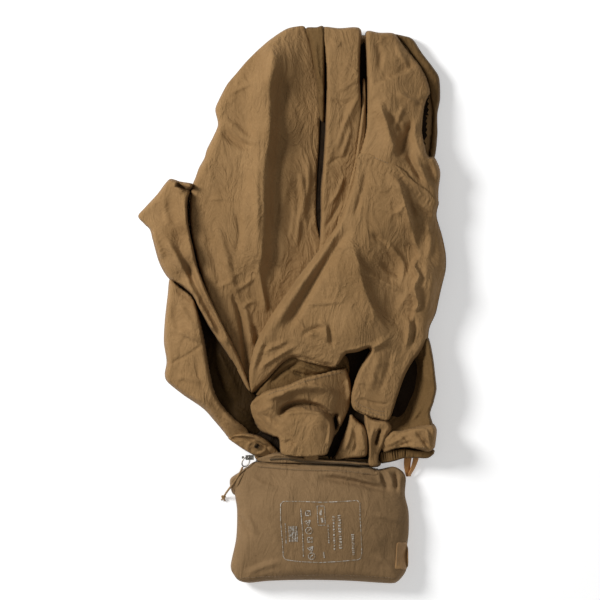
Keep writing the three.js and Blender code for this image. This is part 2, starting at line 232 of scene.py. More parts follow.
class Finish:
    """A surface finish that makes its material once."""

    name: str

    def build(self) -> bpy.types.Material:
        """Make the material."""
        raise NotImplementedError

    def material(self) -> bpy.types.Material:
        """Return this finish's material, made on first use."""
        found = bpy.data.materials.get(self.name)
        return found or self.build()

    def dress(self, piece: bpy.types.Object) -> bpy.types.Object:
        """Put the finish on a piece's every slot and return the piece."""
        made = self.material()
        if piece.data.materials:
            for number in range(len(piece.data.materials)):
                piece.data.materials[number] = made
                piece.material_slots[number].material = made
        else:
            piece.data.materials.append(made)
        return piece


@dataclass(frozen=True)
class WovenCloth(Finish):
    """Light plain-woven nylon with a soft crinkle."""

    name: str
    colour: tuple[float, float, float]
    shade: tuple[float, float, float]
    roughness: float = 0.72
    weave: float = 0.9
    crinkle: float = 1.0
    sheen: float = 0.015

    def build(self) -> bpy.types.Material:
        """Make the woven material."""
        graph = Graph(self.name)
        place = graph.node("ShaderNodeTexCoord").outputs["Object"]
        axes = graph.node("ShaderNodeSeparateXYZ", None, {0: place})
        across = Value(graph, axes.outputs[0])
        along = Value(graph, axes.outputs[1])
        broad = graph.value("ShaderNodeTexNoise", 0, {"noise_dimensions": "3D"},
                            {"Vector": place, "Scale": 17.0, "Detail": 4.0, "Roughness": 0.55})
        slub = graph.value("ShaderNodeTexNoise", 0, None,
                           {"Vector": place, "Scale": 330.0, "Detail": 2.0, "Roughness": 0.6})
        stretch = graph.node("ShaderNodeMapping", None, {"Vector": place, "Scale": (1.0, 0.42, 1.0)})
        crease = graph.value("ShaderNodeTexNoise", 0, None,
                             {"Vector": stretch.outputs[0], "Scale": 44.0, "Detail": 5.0,
                              "Roughness": 0.62, "Distortion": 0.7})
        fold = 1.0 - abs(crease * 2.0 - 1.0) ** 0.8
        wander = graph.node("ShaderNodeTexNoise", None, {"Vector": place, "Scale": 26.0, "Detail": 2.0})
        bent = graph.node("ShaderNodeVectorMath", {"operation": "MULTIPLY_ADD"},
                          {0: wander.outputs["Color"], 1: (0.03, 0.03, 0.03), 2: stretch.outputs[0]})
        facets = graph.value("ShaderNodeTexVoronoi", "Distance", {"feature": "F1"},
                             {"Vector": bent.outputs[0], "Scale": 52.0, "Detail": 1.0, "Roughness": 0.4})
        pitch = 2 * math.pi / (self.weave * MM)
        warp = (across * pitch).sine()
        weft = (along * pitch).sine()
        web = warp * weft
        tone = (0.5 + (broad - 0.5) * 1.7 + (slub - 0.5) * 0.9 + web * 0.1).clamped()
        colour = graph.mix(tone, self.shade, self.colour)
        height = fold * (1.5 * self.crinkle) + facets * (0.55 * self.crinkle) + slub * 0.1 + web * 0.025
        bump = graph.node("ShaderNodeBump", None, {"Strength": 1.0, "Distance": CRINKLE_DEPTH,
                                                   "Height": height})
        rough = self.roughness + (slub - 0.5) * 0.16
        shader = graph.node("ShaderNodeBsdfPrincipled", None,
                            {"Base Color": colour, "Roughness": rough, "Normal": bump.outputs[0],
                             "Sheen Weight": self.sheen, "Sheen Roughness": 0.5,
                             "Specular IOR Level": 0.1})
        graph.node("ShaderNodeOutputMaterial", None, {"Surface": shader.outputs[0]})
        return graph.material


@dataclass(frozen=True)
class Ribbon(Finish):
    """Closely woven tape or webbing with ribs across it."""

    name: str
    colour: tuple[float, float, float]
    shade: tuple[float, float, float]
    pitch: float = 1.1
    roughness: float = 0.66

    def build(self) -> bpy.types.Material:
        """Make the ribbed material."""
        graph = Graph(self.name)
        place = graph.node("ShaderNodeTexCoord").outputs["Object"]
        axes = graph.node("ShaderNodeSeparateXYZ", None, {0: place})
        turn = 2 * math.pi / (self.pitch * MM)
        rib = (Value(graph, axes.outputs[0]) * (turn * 0.6) + Value(graph, axes.outputs[1]) * turn).sine()
        yarn = (Value(graph, axes.outputs[0]) * (turn * 1.9)).sine()
        grain = graph.value("ShaderNodeTexNoise", 0, None, {"Vector": place, "Scale": 260.0, "Detail": 3.0})
        tone = (0.5 + rib * 0.16 + yarn * 0.07 + (grain - 0.5) * 0.9).clamped()
        colour = graph.mix(tone, self.shade, self.colour)
        bump = graph.node("ShaderNodeBump", None, {"Strength": 0.7, "Distance": 0.0004,
                                                   "Height": rib * 0.5 + yarn * 0.25 + grain * 0.4})
        shader = graph.node("ShaderNodeBsdfPrincipled", None,
                            {"Base Color": colour, "Roughness": self.roughness + grain * 0.1,
                             "Normal": bump.outputs[0], "Sheen Weight": 0.1})
        graph.node("ShaderNodeOutputMaterial", None, {"Surface": shader.outputs[0]})
        return graph.material


@dataclass(frozen=True)
class Metal(Finish):
    """Cast and tumbled metal with worn high spots."""

    name: str = "worn_metal"
    colour: tuple[float, float, float] = (0.42, 0.40, 0.36)
    shade: tuple[float, float, float] = (0.17, 0.155, 0.13)

    def build(self) -> bpy.types.Material:
        """Make the metal material."""
        graph = Graph(self.name)
        place = graph.node("ShaderNodeTexCoord").outputs["Object"]
        wear = graph.value("ShaderNodeTexNoise", 0, None, {"Vector": place, "Scale": 480.0, "Detail": 5.0})
        colour = graph.mix(((wear - 0.35) * 2.2).clamped(), self.shade, self.colour)
        bump = graph.node("ShaderNodeBump", None, {"Strength": 0.35, "Distance": 0.0001, "Height": wear})
        shader = graph.node("ShaderNodeBsdfPrincipled", None,
                            {"Base Color": colour, "Metallic": 0.9, "Roughness": 0.28 + wear * 0.3,
                             "Normal": bump.outputs[0]})
        graph.node("ShaderNodeOutputMaterial", None, {"Surface": shader.outputs[0]})
        return graph.material


@dataclass(frozen=True)
class Ink(Finish):
    """Screen-printed ink, thin and a little worn where the weave shows through."""

    name: str = "printed_ink"
    colour: tuple[float, float, float] = (0.56, 0.53, 0.48)
    cloth: tuple[float, float, float] = (0.24, 0.165, 0.09)

    def build(self) -> bpy.types.Material:
        """Make the ink material."""
        graph = Graph(self.name)
        place = graph.node("ShaderNodeTexCoord").outputs["Object"]
        worn = graph.value("ShaderNodeTexNoise", 0, None, {"Vector": place, "Scale": 520.0, "Detail": 3.0})
        colour = graph.mix(((worn - 0.42) * 4.0).clamped(), self.cloth, self.colour)
        bump = graph.node("ShaderNodeBump", None, {"Strength": 0.3, "Distance": 0.0001, "Height": worn})
        shader = graph.node("ShaderNodeBsdfPrincipled", None,
                            {"Base Color": colour, "Roughness": 0.55 + worn * 0.2,
                             "Normal": bump.outputs[0]})
        graph.node("ShaderNodeOutputMaterial", None, {"Surface": shader.outputs[0]})
        return graph.material


@dataclass(frozen=True)
class TableTop(Finish):
    """Matt white table."""

    name: str = "pale_table"
    colour: tuple[float, float, float] = (0.86, 0.86, 0.86)

    def build(self) -> bpy.types.Material:
        """Make the table's material."""
        graph = Graph(self.name)
        shader = graph.node("ShaderNodeBsdfPrincipled", None,
                            {"Base Color": (*self.colour, 1.0), "Roughness": 0.9,
                             "Specular IOR Level": 0.1, "Emission Color": (1.0, 1.0, 1.0, 1.0),
                             "Emission Strength": 0.36})
        graph.node("ShaderNodeOutputMaterial", None, {"Surface": shader.outputs[0]})
        return graph.material


COYOTE = WovenCloth("woven_coyote", (0.306, 0.182, 0.078), (0.228, 0.130, 0.051))
# darker copy of the coyote cloth: painted shade for the folds that lie in shadow
SHADED = WovenCloth("woven_shaded", (0.170, 0.098, 0.036), (0.110, 0.060, 0.020))
# near-black cloth for the lining in the gap under the left sleeve: painted shadow of that cavity
LINING_PAINTED_SHADOW = WovenCloth("woven_lining_painted_shadow", (0.036, 0.018, 0.003), (0.020, 0.009, 0.001))
# near-black cloth for the layers seen in the gaps between folds: painted shade
CAVITY_PAINTED_SHADOW = WovenCloth("woven_cavity_painted_shadow", (0.022, 0.012, 0.004), (0.010, 0.005, 0.002))
POUCH = WovenCloth("woven_pouch", (0.255, 0.158, 0.076), (0.192, 0.117, 0.054), crinkle=0.55)
WEBBING = Ribbon("webbing_ribs", (0.68, 0.33, 0.10), (0.50, 0.22, 0.06))
TAB_RIBBON = Ribbon("tab_ribbon", (0.45, 0.25, 0.09), (0.36, 0.19, 0.065), 0.9)
COIL = Ribbon("coil_nylon", (0.205, 0.135, 0.062), (0.11, 0.07, 0.03), 0.5, 0.4)
CORD_YARN = Ribbon("cord_yarn", (0.44, 0.26, 0.10), (0.28, 0.16, 0.06), 0.7)
THREAD = Ribbon("stitch_thread", (0.33, 0.215, 0.11), (0.24, 0.15, 0.07), 0.4)
METAL = Metal()
PAINTED = Metal("painted_eyelet", (0.13, 0.085, 0.042), (0.05, 0.03, 0.014))
INK = Ink()

# ------------------------------------------------------------------------------------------ lines


def smooth(points: Sequence[Sequence[float]], step: float, closed: bool = False) -> np.ndarray:
    """Run a smooth line through points.

    Args:
        points: the points, each of two or more numbers that are all carried along.
        step: distance between the new points, in millimetres.
        closed: whether the line runs back to its start.

    Returns:
        The line's points, evenly spaced.
    """
    at = np.asarray(points, float)
    if closed:
        at = np.vstack([at[-1], at, at[0], at[1]])
    else:
        at = np.vstack([2 * at[0] - at[1], at, 2 * at[-1] - at[-2]])
    made = []
    for a, b, c, d in zip(at[:-3], at[1:-2], at[2:-1], at[3:]):
        count = max(2, int(np.linalg.norm((c - b)[:2]) / step * 2))
        t = np.linspace(0, 1, count, endpoint=False)[:, None]
        curve = (2 * b + (c - a) * t + (2 * a - 5 * b + 4 * c - d) * t**2 + (3 * b - a - 3 * c + d) * t**3) / 2
        made.append(b + (curve - b) * 0.85 + (c - b) * t * 0.15)
    line = np.vstack([*made, at[-2][None]])
    run = np.concatenate([[0], np.cumsum(np.linalg.norm(np.diff(line[:, :2], axis=0), axis=1))])
    places = np.linspace(0, run[-1], max(3, int(round(run[-1] / step)) + 1))
    line = np.stack([np.interp(places, run, line[:, k]) for k in range(line.shape[1])], axis=1)
    return line[:-1] if closed else line


def beside(points: np.ndarray, line: np.ndarray) -> tuple[np.ndarray, np.ndarray, np.ndarray]:
    """Measure points against a line in plan.

    Args:
        points: N by 2 points.
        line: M by 2 or more points of the line.

    Returns:
        Each point's distance, its side (above 0 on the left of the way the line runs) and its share along.
    """
    best = np.full(len(points), np.inf)
    side = np.zeros(len(points))
    share = np.zeros(len(points))
    start, ends = line[:-1, :2], line[1:, :2]
    for number, (a, b) in enumerate(zip(start, ends)):
        way = b - a
        off = points - a
        t = np.clip(off @ way / max(way @ way, 1e-9), 0, 1)
        gap = off - t[:, None] * way
        far = np.einsum("ij,ij->i", gap, gap)
        closer = far < best
        best[closer] = far[closer]
        side[closer] = (way[0] * off[:, 1] - way[1] * off[:, 0])[closer]
        share[closer] = ((number + t) / len(start))[closer]
    return np.sqrt(best), side, share


def inside(points: np.ndarray, outline: np.ndarray) -> np.ndarray:
    """Say which points lie inside a closed outline, in plan."""
    x, y = points[:, 0], points[:, 1]
    held = np.zeros(len(points), bool)
    for (ax, ay), (bx, by) in zip(outline[:, :2], np.roll(outline[:, :2], -1, axis=0)):
        crosses = (ay > y) != (by > y)
        place = (bx - ax) * (y - ay) / (by - ay if by != ay else 1e-9) + ax
        held ^= crosses & (x < place)
    return held


def ease(share: np.ndarray) -> np.ndarray:
    """Return a smooth step from 0 to 1."""
    share = np.clip(share, 0, 1)
    return share * share * (3 - 2 * share)


# ------------------------------------------------------------------------------------------ cloth


@dataclass(frozen=True)
class Crease:
    """One ridge, or groove where height is below zero, pressed along a line."""

    line: Line
    height: float
    right: float
    left: float
    soft: bool = False
    fade: float = 0.3

    def lift(self, points: np.ndarray, _low: np.ndarray, _high: np.ndarray) -> np.ndarray:
        """Return how far the crease raises each point."""
        line = smooth(self.line, 3.0)
        far, side, share = beside(points, line)
        width = np.where(side > 0, self.left, self.right)
        reach = np.clip(1 - far / width, 0, 1)
        shape = ease(reach) if self.soft else reach**1.25
        ends = ease(np.minimum(share, 1 - share) / self.fade) if self.fade > 0 else 1.0
        return PRESS * self.height * shape * ends


@dataclass(frozen=True)
class Crumple:
    """Seeded short creases that run mostly one way."""

    seed: int
    count: int
    angle: float
    spread: float = 40.0
    height: float = 1.0
    length: float = 26.0
    width: float = 6.0

    def lift(self, points: np.ndarray, low: np.ndarray, high: np.ndarray) -> np.ndarray:
        """Return how far the short creases raise each point of the stretch between two corners."""
        chance = np.random.default_rng(self.seed)
        raised = np.zeros(len(points))
        for _ in range(self.count):
            centre = low + (high - low) * chance.random(2)
            turn = math.radians(self.angle + chance.normal() * self.spread)
            size = self.length * chance.uniform(0.5, 1.5)
            wide = self.width * chance.uniform(0.5, 1.5)
            rise = self.height * chance.uniform(0.3, 1.0) * chance.choice([-0.7, 1.0])
            lean = chance.uniform(0.35, 1.0)
            bow = chance.uniform(-0.12, 0.12) / size
            off = points - centre
            run = off @ np.array([math.cos(turn), math.sin(turn)])
            out = off @ np.array([-math.sin(turn), math.cos(turn)]) - bow * run**2
            across = np.clip(1 - np.abs(out) / np.where(out > 0, wide, wide * lean), 0, 1) ** 1.25
            raised += PRESS * rise * across * np.clip(1 - (run / size) ** 2, 0, 1) ** 1.5
        return raised


@dataclass(frozen=True)
class Puckers:
    """The small gathers that a stitched seam draws in the cloth beside it."""

    line: Line
    height: float = 1.0
    reach: float = 9.0
    pitch: float = 5.0
    lower: bool = True

    def lift(self, points: np.ndarray, _low: np.ndarray, _high: np.ndarray) -> np.ndarray:
        """Return how far the gathers raise each point."""
        line = smooth(self.line, 3.0)
        far, side, share = beside(points, line)
        length = np.linalg.norm(np.diff(line[:, :2], axis=0), axis=1).sum()
        on = (side < 0) if self.lower else (side > 0)
        wave = np.sin(share * length / self.pitch * 2 * math.pi + 1.3 * np.sin(share * length * 0.13))
        near = np.clip(1 - far / self.reach, 0, 1)
        wave = wave * (0.6 + 0.4 * np.sin(share * length * 0.47 + 0.8))
        return self.height * wave * near**1.5 * on * (share > 0.01) * (share < 0.99)


@dataclass(frozen=True)
class ClothField:
    """The height of a stretch of cloth: an outline that curls down, a crest, creases and crumples.

    Each outline point is (x, y, radius of the curl). Each crest point is (x, y, height).
    """

    outline: Line
    crest: Line
    creases: tuple = ()
    floor: float = 12.3
    ceiling: float = 66.0
    spread: float = 14.0

    def height(self, points: np.ndarray) -> np.ndarray:
        """Return the cloth's height at plan points."""
        points = np.asarray(points, float)[:, :2]
        knots = np.asarray(self.crest, float)
        gap = np.linalg.norm(knots[:, None, :2] - knots[None, :, :2], axis=2)
        kernel = np.sqrt(gap**2 + self.spread**2)
        size = len(knots)
        system = np.zeros((size + 1, size + 1))
        system[:size, :size] = kernel + np.eye(size) * 1e-3
        system[:size, size] = 1.0
        system[size, :size] = 1.0
        weights = np.linalg.solve(system, np.append(knots[:, 2], 0.0))
        reach = np.sqrt(
            np.linalg.norm(points[:, None] - knots[None, :, :2], axis=2) ** 2 + self.spread**2)
        crest = np.clip(reach @ weights[:size] + weights[size], self.floor + 1.0, self.ceiling)
        border = smooth(self.outline, 2.5, closed=True)
        border = np.vstack([border, border[:1]])
        far, _, share = beside(points, border)
        radius = np.interp(share, np.linspace(0, 1, len(border)), border[:, 2])
        rounded = np.clip(far / np.maximum(radius, 0.05), 0, 1)
        edge = np.sqrt(np.clip(1 - (1 - rounded) ** 2, 0, 1))
        low, high = border[:, :2].min(0), border[:, :2].max(0)
        lift = sum((crease.lift(points, low, high) for crease in self.creases), np.zeros(len(points)))
        tall = self.floor + (crest - self.floor) * edge + lift * np.minimum(1, edge * 1.15)
        return np.maximum(tall, LOWEST)


class SheetMaker:
    """Cuts pieces of cloth from a field and lays them in the frame."""

    def __init__(self, cloth: ClothField, step: float = 2.0) -> None:
        """Keep the field and how finely its sheets are meshed.

        Args:
            cloth: the cloth's height field.
            step: distance between neighbouring mesh points, in millimetres.
        """
        self.cloth = cloth
        self.step = step

    def shade_from_field(self, piece: bpy.types.Object) -> None:
        """Give a sheet the field's own normals, so that it runs on into its neighbour without a line."""
        at = np.array([v.co for v in piece.data.vertices])
        plan = (at[:, :2] - np.array([PLACE.x, PLACE.y])) / MM
        reach = 0.9
        east = self.cloth.height(plan + [reach, 0]) - self.cloth.height(plan - [reach, 0])
        north = self.cloth.height(plan + [0, reach]) - self.cloth.height(plan - [0, reach])
        normal = np.column_stack([-east / (2 * reach), -north / (2 * reach), np.ones(len(at))])
        normal /= np.linalg.norm(normal, axis=1)[:, None]
        piece.data.normals_split_custom_set_from_vertices(normal.tolist())

    def mesh(self, name: str, outline: Line, lift: float = 0.0) -> bpy.types.Object:
        """Mesh one sheet inside an outline.

        Args:
            name: the piece's name.
            outline: the cut's outline in plan.
            lift: how far the sheet is raised off the field.

        Returns:
            The new mesh object.
        """
        border = smooth(outline, self.step, closed=True)[:, :2]
        low, high = border.min(0), border.max(0)
        rows = np.arange(low[1], high[1], self.step * 0.87)
        grid = np.vstack([
            np.stack([np.arange(low[0] + (number % 2) * self.step / 2, high[0], self.step),
                      np.full(len(np.arange(low[0] + (number % 2) * self.step / 2, high[0], self.step)), y)], 1)
            for number, y in enumerate(rows)])
        grid = grid[inside(grid, border)]
        far, _, _ = beside(grid, np.vstack([border, border[:1]]))
        grid = grid[far > self.step * 0.55]
        points = np.vstack([border, grid])
        loop = [(k, (k + 1) % len(border)) for k in range(len(border))]
        verts, _, faces, *_ = delaunay_2d_cdt([Vector(p) for p in points.tolist()], loop,
                                              [list(range(len(border)))], 1, 1e-6)
        plan = np.array([(v.x, v.y) for v in verts])
        tall = self.cloth.height(plan) + lift
        data = bpy.data.meshes.new(name)
        data.from_pydata(PLACE.metres(np.column_stack([plan, tall])).tolist(), [], [list(f) for f in faces])
        data.update()
        data.polygons.foreach_set("use_smooth", [True] * len(data.polygons))
        piece = bpy.data.objects.new(name, data)
        bpy.context.scene.collection.objects.link(piece)
        if sum(p.normal.z for p in data.polygons) < 0:
            data.flip_normals()
        return piece


def thicken(piece: bpy.types.Object, thickness: float = 0.4) -> bpy.types.Object:
    """Give a single sheet its cloth's thickness, downwards.

    Args:
        piece: the sheet.
        thickness: in millimetres.

    Returns:
        The piece.
    """
    shell = piece.modifiers.new("cloth_thickness", "SOLIDIFY")
    shell.thickness = thickness * MM
    shell.offset = -1
    return piece


def finish_sheet(piece: bpy.types.Object, finish: Finish, nodes: Sequence[str],
                 thick: bool = True) -> bpy.types.Object:
    """Dress, thicken and place a sheet of the jacket, and hide the CAD nodes it stands for.

    Args:
        piece: the single sheet.
        finish: its finish.
        nodes: the CAD nodes it stands for.
        thick: whether the cloth's thickness is modelled.

    Returns:
        The piece.
    """
    finish.dress(piece)
    if thick:
        thicken(piece)
    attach(piece, "jacket")
    if nodes:
        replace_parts(piece, *nodes)
    return piece


# ------------------------------------------------------------------------------------------ tubes and stitches


def tube(name: str, line: np.ndarray, radius: float, sides: int = 8, flat: float = 1.0) -> bpy.types.Object:
    """Make a closed round tube along a line.

    Args:
        name: the piece's name.
        line: N by 3 points in heap millimetres.
        radius: in millimetres.
        sides: corners of its section.
        flat: the section's height as a share of its width.

    Returns:
        The new mesh object.
    """
    line = np.asarray(line, float)
    way = np.gradient(line, axis=0)
    way /= np.maximum(np.linalg.norm(way, axis=1), 1e-9)[:, None]
    normal = np.cross(way[0], [0.3, 0.2, 1.0])
    rings = []
    for at, along in zip(line, way):
        normal = normal - along * (normal @ along)
        normal /= max(np.linalg.norm(normal), 1e-9)
        other = np.cross(along, normal)
        turn = np.linspace(0, 2 * math.pi, sides, endpoint=False)[:, None]
        rings.append(at + radius * (np.cos(turn) * normal + flat * np.sin(turn) * other))
    points = np.vstack(rings)
    count = len(line)
    faces = [(r * sides + k, r * sides + (k + 1) % sides, (r + 1) * sides + (k + 1) % sides, (r + 1) * sides + k)
             for r in range(count - 1) for k in range(sides)]
    faces += [tuple(reversed(range(sides))), tuple((count - 1) * sides + k for k in range(sides))]
    data = bpy.data.meshes.new(name)
    data.from_pydata(PLACE.metres(points).tolist(), [], faces)
    data.polygons.foreach_set("use_smooth", [True] * len(data.polygons))
    data.update()
    piece = bpy.data.objects.new(name, data)
    bpy.context.scene.collection.objects.link(piece)
    return piece


def joined(name: str, parts: Sequence[bpy.types.Object]) -> bpy.types.Object:
    """Join parts into one piece of that name."""
    points: list = []
    faces: list = []
    for part in parts:
        start = len(points)
        points += [tuple(v.co) for v in part.data.vertices]
        faces += [tuple(start + k for k in p.vertices) for p in part.data.polygons]
        bpy.data.objects.remove(part)
    data = bpy.data.meshes.new(name)
    data.from_pydata(points, [], faces)
    data.polygons.foreach_set("use_smooth", [True] * len(data.polygons))
    data.update()
    piece = bpy.data.objects.new(name, data)
    bpy.context.scene.collection.objects.link(piece)
    return piece


def stitches(name: str, line: Line, surface: Callable[[np.ndarray], np.ndarray], body: str,
             pitch: float = 3.0) -> bpy.types.Object:
    """Sew a row of thread stitches along a line on a surface.

    Args:
        name: the piece's name.
        line: the row's route in plan.
        surface: gives the surface's height at plan points.
        body: the CAD body that it rides on.
        pitch: from one stitch to the next, in millimetres.

    Returns:
        The row as one piece.
    """
    route = smooth(line, 0.6)[:, :2]
    route3 = np.column_stack([route, surface(route)])
    run = np.concatenate([[0], np.cumsum(np.linalg.norm(np.diff(route, axis=0), axis=1))])
    parts = []
    for start in np.arange(0.4, run[-1] - pitch, pitch):
        places = np.linspace(start, start + pitch * 0.72, 5)
        at = np.stack([np.interp(places, run, route3[:, k]) for k in range(3)], axis=1)
        at[:, 2] += np.array([-0.15, 0.25, 0.32, 0.25, -0.15])
        parts.append(tube("stitch", at, 0.27, 5))
    piece = THREAD.dress(joined(name, parts))
    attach(piece, body)
    LOG.info("%s: %d stitches", name, len(parts))
    return piece


# ------------------------------------------------------------------------------------------ studio


@dataclass
class Studio:
    """The camera straight above, a pale table and soft lights."""

    width: float = 0.66
    lens: float = 250.0
    aim: tuple[float, float] = (8.85, 170.5)

    def camera(self) -> None:
        """Hang the camera over the middle of the view."""
        data = bpy.data.cameras.new("camera")
        data.lens = self.lens
        data.sensor_width = 36.0
        data.clip_end = 30.0
        camera = bpy.data.objects.new("camera", data)
        bpy.context.scene.collection.objects.link(camera)
        centre = PLACE.one(self.aim[0] + 0.5, self.aim[1], 20.0)
        camera.location = centre + Vector((0, 0, self.width * self.lens / 36.0))
        bpy.context.scene.camera = camera
        LOG.info("camera: %.2f m above", camera.location.z)

    def floor(self) -> None:
        """Lay the table's top."""
        data = bpy.data.meshes.new("table")
        size = 6.0
        data.from_pydata([(-size, -size, 0), (size, -size, 0), (size, size, 0), (-size, size, 0)], [], [(0, 1, 2, 3)])
        table = bpy.data.objects.new("table", data)
        bpy.context.scene.collection.objects.link(table)
        table.location.z = -0.0002
        TableTop().dress(table)

    def lights(self) -> None:
        """Set a large soft key at the upper left, a weak fill and an even surround."""
        for name, place, size, power in (
            ("key", (-1.75, 0.85, 1.5), 0.8, KEY_WATTS),
            ("fill", (1.6, -0.6, 2.2), 2.2, FILL_WATTS),
        ):
            data = bpy.data.lights.new(name, "AREA")
            data.shape = "DISK"
            data.size = size
            data.energy = power
            light = bpy.data.objects.new(name, data)
            bpy.context.scene.collection.objects.link(light)
            light.location = place
            light.rotation_euler = (-Vector(place)).to_track_quat("-Z", "Y").to_euler()
        world = bpy.data.worlds.new("surround")
        bpy.context.scene.world = world
        world.use_nodes = True
        world.node_tree.nodes["Background"].inputs[0].default_value = (1.0, 0.995, 0.985, 1.0)
        world.node_tree.nodes["Background"].inputs[1].default_value = SURROUND
        bpy.context.scene.view_settings.view_transform = "Standard"

    def build(self) -> None:
        """Make the whole studio."""
        self.camera()
        self.floor()
        self.lights()


# ------------------------------------------------------------------------------------------ pull cord


@dataclass
class PullCord:
    """The cord on the slider's ring, tied off in a knot with two short tails."""

    diameter: float = 2.2
    route: Line = (
        (-53.59, -13.14, 20.2), (-57.59, -21.14, 20.0), (-64.09, -31.14, 19.6), (-71.09, -40.64, 12.2),
        (-73.81, -45.07, 4.58),
    )
    knot_at: tuple[float, float, float] = (-75.09, -47.14, 3.0)

    def knot(self) -> bpy.types.Object:
        """Tie the knot and its tails."""
        turn = np.linspace(0, 2 * math.pi, 70)
        size = 0.62
        loops = np.stack([
            np.sin(turn) + 2 * np.sin(2 * turn), np.cos(turn) - 2 * np.cos(2 * turn), -1.1 * np.sin(3 * turn),
        ], axis=1) * size + np.array([self.knot_at[0], self.knot_at[1], 2.9])
        parts = [tube("turns", loops, 0.95, 8)]
        for end in ((-2.6, -3.4, 1.3), (1.8, -4.4, 1.2)):
            tail = np.linspace([0, -1.0, 2.6], end, 8) + np.array([self.knot_at[0], self.knot_at[1], 0])
            parts.append(tube("tail", tail, 0.85, 7))
        return CORD_YARN.dress(joined("cord_knot", parts))

    def build(self) -> None:
        base = np.array(self.route)
        line = smooth(np.column_stack([base, np.zeros(len(base))])[:, :3], 1.6)
        curve = bpy.data.curves.new("cord", "CURVE")
        curve.dimensions = "3D"
        curve.bevel_depth = self.diameter / 2 * MM
        curve.bevel_resolution = 4
        curve.use_fill_caps = True
        spline = curve.splines.new("POLY")
        at = PLACE.metres(line)
        spline.points.add(len(at) - 1)
        for point, place in zip(spline.points, at):
            point.co = (*place, 1.0)
        piece = bpy.data.objects.new("cord", curve)
        bpy.context.scene.collection.objects.link(piece)
        CORD_YARN.dress(piece)
        knot = self.knot()
        for part, node, slot in ((piece, "pull_cord", "tan_cord"), (knot, "pull_knot", "tan_cord")):
            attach(part, "zip_pull")
            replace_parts(part, node)


# ------------------------------------------------------------------------------------------ jacket


